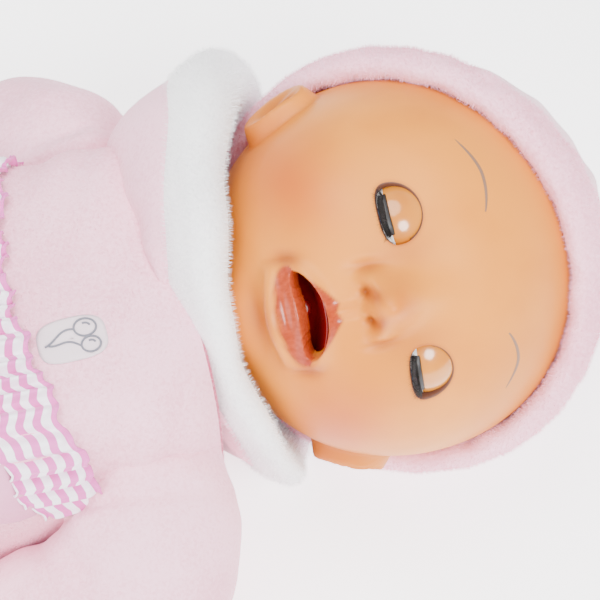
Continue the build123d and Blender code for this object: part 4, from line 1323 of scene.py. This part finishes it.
def make_cuff(side, name, cloth):
    end, way = arm_way(side)
    spins = np.linspace(0, 2 * math.pi, 22, endpoint=False)
    y_way = np.array([0, 1.0, 0])
    high = np.cross(way, y_way)
    rows = []
    for a in np.linspace(0, 2 * math.pi, 120, endpoint=False):
        out = math.cos(a) * y_way + math.sin(a) * high
        rib = 0.28 * math.sin(40 * a)
        rows.append([end + out * (15.6 + (3.6 + rib) * math.cos(t)) + way * 5.2 * math.sin(t) for t in spins])
    rows.append(rows[0])
    return loft(f"{name}_cuff_rib", above_floor(rows), [cloth], closed_ends=False)


def blob(name, parts, voxel, rounds, material, floor=0.3):
    """Balls and capsules melted into one smooth moulding."""
    shape = bmesh.new()
    for start, stop, first, last in parts:
        start, stop = Vector(start), Vector(stop)
        way = stop - start
        length = way.length
        turn = way.to_track_quat("Z", "Y").to_matrix().to_4x4() if length > 1e-6 else Matrix()
        beads = max(2, int(length / 1.5))
        for i in range(beads + 1):
            t = i / beads
            spot = start.lerp(stop, t)
            bmesh.ops.create_icosphere(shape, subdivisions=2, radius=(first + (last - first) * t) * MM,
                                       matrix=Matrix.Translation(spot * MM) @ turn)
    mesh = bpy.data.meshes.new(name)
    shape.to_mesh(mesh)
    shape.free()
    mesh.materials.append(material)
    piece = bpy.data.objects.new(name, mesh)
    bpy.context.collection.objects.link(piece)
    melt = piece.modifiers.new("melt", "REMESH")
    melt.mode = "VOXEL"
    melt.voxel_size = voxel * MM
    soft = piece.modifiers.new("soft", "SMOOTH")
    soft.iterations = rounds
    soft.factor = 0.5
    settle(piece)
    spots = np.empty(len(piece.data.vertices) * 3)
    piece.data.vertices.foreach_get("co", spots)
    spots[2::3] = np.maximum(spots[2::3], floor * MM)
    piece.data.vertices.foreach_set("co", spots)
    piece.data.polygons.foreach_set("use_smooth", [True] * len(piece.data.polygons))
    return piece


def make_hand(side, name, skin):
    """A plump half-closed hand on its wrist, thumb uppermost."""
    end, way = arm_way(side)
    y_way = np.array([0, 1.0, 0])
    down = np.cross(y_way, way)
    down = down if down[2] < 0 else -down
    curl = -side * y_way

    def at(along, low, inward=0.0):
        return end + way * along + down * low + curl * inward

    parts = [
        (at(-12, 0), at(8, 0), 12.0, 10.0), (
            at(12, -2), at(17, -4), 9.5, 9.0
        ), (at(12, 3), at(17, 4), 9.0, 8.5)
    ]
    for i in range(4):
        low = (i - 1.5) * 5.6
        reach = (27, 30, 29.5, 26)[i]
        parts.append((at(19, low * 0.9), at(reach, low, 2.0), 4.0, 3.6))
        parts.append((at(reach, low, 2.0), at(reach + 3.0, low, 6.5), 3.6, 3.1))
    parts.append((at(7, -8), at(15, -13, 2.0), 4.6, 3.8))
    parts.append((at(15, -13, 2.0), at(22, -13.5, 5.0), 3.8, 3.2))
    return blob(f"{name}_hand", parts, 0.9, 8, skin)


def make_leg(side, name, cloth):
    hip = HIP[side]
    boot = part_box(f"{name}_bootee")
    ankle_x = boot[1][0] * 1000
    path = [(JACKET_LOW[0] + 20, side * 26, 42), (
        JACKET_LOW[0] - 4, side * 28.5, 34
    ), (hip[0], side * 30, 27.5),
            (hip[0] - 50, side * 30, 25.5), (hip[0] - 92, side * 30, 23.5), (ankle_x + 1.5, side * 30, 22.6)]
    radii = [22, 25.5, 26.2, 24.2, 22.2, 19.4]

    def folds(at, angle, radius):
        ring = 1.2 * waves(at * 0.9, angle * radius * 0.4, 51 + side, 9, 0.015, 0.06)
        knee = 1.0 * np.sin(at * 0.40 + 1.4 * np.sin(angle)) * math.exp(-(((at - 108) / 17) ** 2))
        gather = 0.8 * np.sin(angle * 19 + 0.6) * math.exp(-(((at - 184) / 9) ** 2))
        return ring + knee + gather - 0.9

    return swept(f"{name}_trouser_cloth", path, radii, [cloth], folds, count=150)


def make_bootee(side, name, cloth):
    """A soft quilted bootee with its toes up."""
    low, high = (np.array(v) * 1000 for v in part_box(f"{name}_bootee"))
    y = (low[1] + high[1]) / 2
    sole = low[0]
    rows = []
    count, around = 70, 96
    for i in range(count):
        t = i / (count - 1)
        z = low[2] + (high[2] - low[2]) * t
        swell = max(0.0, 1 - abs(2 * t - 1) ** 3.2) ** 0.5
        half_w = 18.6 * swell * (1 - 0.10 * t)
        half_d = (19.2 - 3.6 * t) * swell
        x0 = sole + 0.6 + half_d
        ring = []
        for a in np.linspace(0, 2 * math.pi, around, endpoint=False):
            c, s = math.cos(a), math.sin(a)
            flat = 0.62 if c < 0 else 0.9
            seam = -0.7 * math.exp(-(((c + 0.62) / 0.07) ** 2))
            puff_out = 0.5 * float(waves(z * 1.0, a * 18, 71 + side, 6, 0.03, 0.08))
            reach = 1 + (seam + puff_out) / 18
            ring.append((x0 + half_d * math.copysign(abs(c) ** flat, c) * reach, y + half_w * s * reach, z))
        rows.append(ring)
    boot = loft(f"{name}_bootee_cloth", above_floor(rows, 0.2), [cloth])
    ankle = []
    for a in np.linspace(0, 2 * math.pi, 110, endpoint=False):
        out = np.array([0, math.cos(a), math.sin(a)])
        rib = 0.3 * math.sin(36 * a)
        ankle.append([
            np.array([high[0] - 1.5, y, 22.6]) + out * (17.4 + (3.0 + rib) * math.cos(t))
            + np.array([3.8 * math.sin(t), 0, 0])
            for t in np.linspace(0, 2 * math.pi, 18, endpoint=False)
        ])
    ankle.append(ankle[0])
    roll = loft(f"{name}_bootee_rib", above_floor(ankle), [cloth], closed_ends=False)
    return boot, roll


def make_seat(cloth):
    """The gusset of the trousers, between the legs."""
    hip = HIP[1]
    seat = blob("trouser_gusset", [((hip[0], 0, 27), (JACKET_LOW[0] + 10, 0, 29), 15.0, 15.5)], 1.2, 4, cloth)
    spots = np.empty(len(seat.data.vertices) * 3)
    seat.data.vertices.foreach_get("co", spots)
    spots[1::3] *= 0.26
    seat.data.vertices.foreach_set("co", spots)
    return seat


# ------------------------------------------------------------ the whole doll
FLOOR_SIZE = 8
FLOOR_DROP = 0.0005

set_camera()
set_light()
skin = skin_finish()
# Dark brown painted shade for the inner walls of the eye openings.
socket_shade = plastic("socket_painted_shade", (0.10, 0.035, 0.02), 0.6)
head = make_head(skin, socket_shade)
place(head, "head", "skin_vinyl", "head_shell")
mouth_red = plastic("mouth_red", (0.34, 0.006, 0.005), 0.32, gloss=0.3)
place(make_mouth(mouth_red), "head", "mouth_red", "mouth_cup")
make_brows(plastic("brow_brown", (0.22, 0.115, 0.07), 0.6))
lid_gloss = lid_finish()
lash_black = plastic("lash_black", (0.012, 0.010, 0.010), 0.45)
for side, name in ((-1, "left"), (1, "right")):
    make_eye(side, name, lid_gloss, eye_white_finish(side), lash_black)

pink = fleece("pink_fleece", (0.96, 0.54, 0.66), (0.86, 0.41, 0.53))
# A paler, greyer copy of the pink fleece for the hat's crown: painted shade.
pink_shaded = fleece("pink_fleece_shaded", (0.92, 0.62, 0.70), (0.82, 0.50, 0.58))
white = fleece("white_fleece", (0.95, 0.95, 0.955), (0.86, 0.85, 0.87))
brim, crown = make_hat(pink, pink_shaded)
brim_pile = grow_pile(brim, "hat_brim_pile", pink, 190, 1.5)
place(brim, "head", "pink_fleece", "hat_brim")
place(brim_pile, "head", "pink_fleece")
place(crown, "head", "pink_fleece", "hat_crown")
lining, shell = make_collar(white, pink)
lining_pile = grow_pile(lining, "collar_fleece_pile", white, 110, 2.0)
place(lining, "torso", "white_fleece", "collar_lining")
place(lining_pile, "torso", "white_fleece")
place(shell, "torso", "pink_fleece", "collar_shell")

# ------------------------------------------------------------ clothes
stripe = stripe_finish()
rose = woven("rose_cotton", (0.80, 0.36, 0.54), (0.72, 0.27, 0.45))
patch_cloth = woven("patch_cotton", (0.84, 0.72, 0.76), (0.74, 0.60, 0.66), 0.4)
grey_thread = woven("grey_thread", (0.24, 0.24, 0.28), (0.14, 0.14, 0.18), 0.3)
# Dark rose painted shade for the shadow inside the jacket's neck opening.
neck_shade_fleece = fleece("neck_edge_painted_shade", (0.52, 0.07, 0.16), (0.40, 0.04, 0.10))
jacket = make_jacket(pink, neck_shade_fleece)
jacket_pile = grow_pile(jacket, "jacket_pile", pink, 85, 1.0)
give_wall(jacket, 1.0)
ruffle = make_ruffle(stripe)
band = make_band(rose)
patch, motif_thread = make_motif(patch_cloth, grey_thread)
place(jacket, "torso", "pink_fleece", "jacket_body")
place(jacket_pile, "torso", "pink_fleece")
place(ruffle, "torso", "stripe_cotton", "chest_ruffle")
place(band, "torso", "pink_cotton", "waist_band")
place(patch, "torso", "pink_fleece", "chest_motif")
place(motif_thread, "torso", "white_fleece")
seat = place(make_seat(pink), "torso", "pink_fleece")
for side, name in ((-1, "left"), (1, "right")):
    sleeve = puff(make_sleeve(side, name, pink), 2.4, 3.5, 1.5)
    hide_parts(f"{name}_sleeve", f"{name}_upper_arm")
    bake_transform(sleeve)
    cuff = place(make_cuff(side, name, white), f"arm_{name}", "white_fleece", f"{name}_cuff")
    place(make_hand(side, name, skin), f"arm_{name}", "skin_vinyl", f"{name}_forearm_and_hand")
    leg = puff(make_leg(side, name, pink), 2.6, 3.5, 1.5)
    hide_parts(f"{name}_trouser_leg", f"{name}_thigh", f"{name}_lower_leg_and_foot")
    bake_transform(leg)
    boot, roll = make_bootee(side, name, pink)
    boot = puff(boot, 2.2, 3.0, 0.9)
    place(boot, f"leg_{name}", "pink_fleece", f"{name}_bootee")
    place(roll, f"leg_{name}", "pink_fleece")

# ------------------------------------------------------------ inside parts
case_white = plastic("case_plastic", (0.80, 0.79, 0.75), 0.5)
inner_grey = plastic("inner_plastic", (0.70, 0.70, 0.70), 0.5)
black = plastic("black_plastic", (0.03, 0.03, 0.03), 0.45)
steel = metal("plated_steel", (0.66, 0.66, 0.68), 0.3)
battery_blue = plastic("battery_sleeve", (0.05, 0.06, 0.10), 0.3, gloss=0.4)
board = plastic("board_lacquer", (0.02, 0.16, 0.07), 0.35, gloss=0.3)
paper = woven("speaker_paper", (0.07, 0.07, 0.07), (0.03, 0.03, 0.03), 0.8)
wire = plastic("wire_sleeve", (0.06, 0.06, 0.06), 0.4)
body_cotton = woven("body_cotton", (0.78, 0.66, 0.58), (0.66, 0.54, 0.48), 0.5)
INSIDE = {
    "case_plastic": case_white, "inner_plastic": inner_grey, "switch_black": black, "steel": steel,
    "battery_skin": battery_blue, "board_green": board, "paper_cone": paper, "wire_skin": wire,
    "filling": body_cotton, "skin_vinyl": skin, "mouth_red": mouth_red, "lid_vinyl": lid_gloss,
    "lash_black": lash_black, "pink_fleece": pink, "white_fleece": white, "stripe_cotton": stripe,
    "pink_cotton": rose,
}
for part in frame["record"]["subparts"]:
    mesh = frame["nodes"][part["node"]].data
    finish = INSIDE[part["material_slot"]]
    for index in range(max(1, len(mesh.materials))):
        if mesh.materials:
            mesh.materials[index] = finish
        else:
            mesh.materials.append(finish)

floor_finish = Finish("studio_floor", (0.96, 0.96, 0.965), 0.75, Emission_Strength=1.6)
floor_finish.shader.inputs["Emission Color"].default_value = (1, 1, 1, 1)
floor_finish.feed("Roughness", floor_finish.grain(0.02, 2) * 0.1 + 0.7)
bpy.ops.mesh.primitive_plane_add(size=FLOOR_SIZE)
floor = bpy.context.object
floor.name = "studio_floor"
floor.location.z = -FLOOR_DROP
floor.data.materials.append(floor_finish.material)
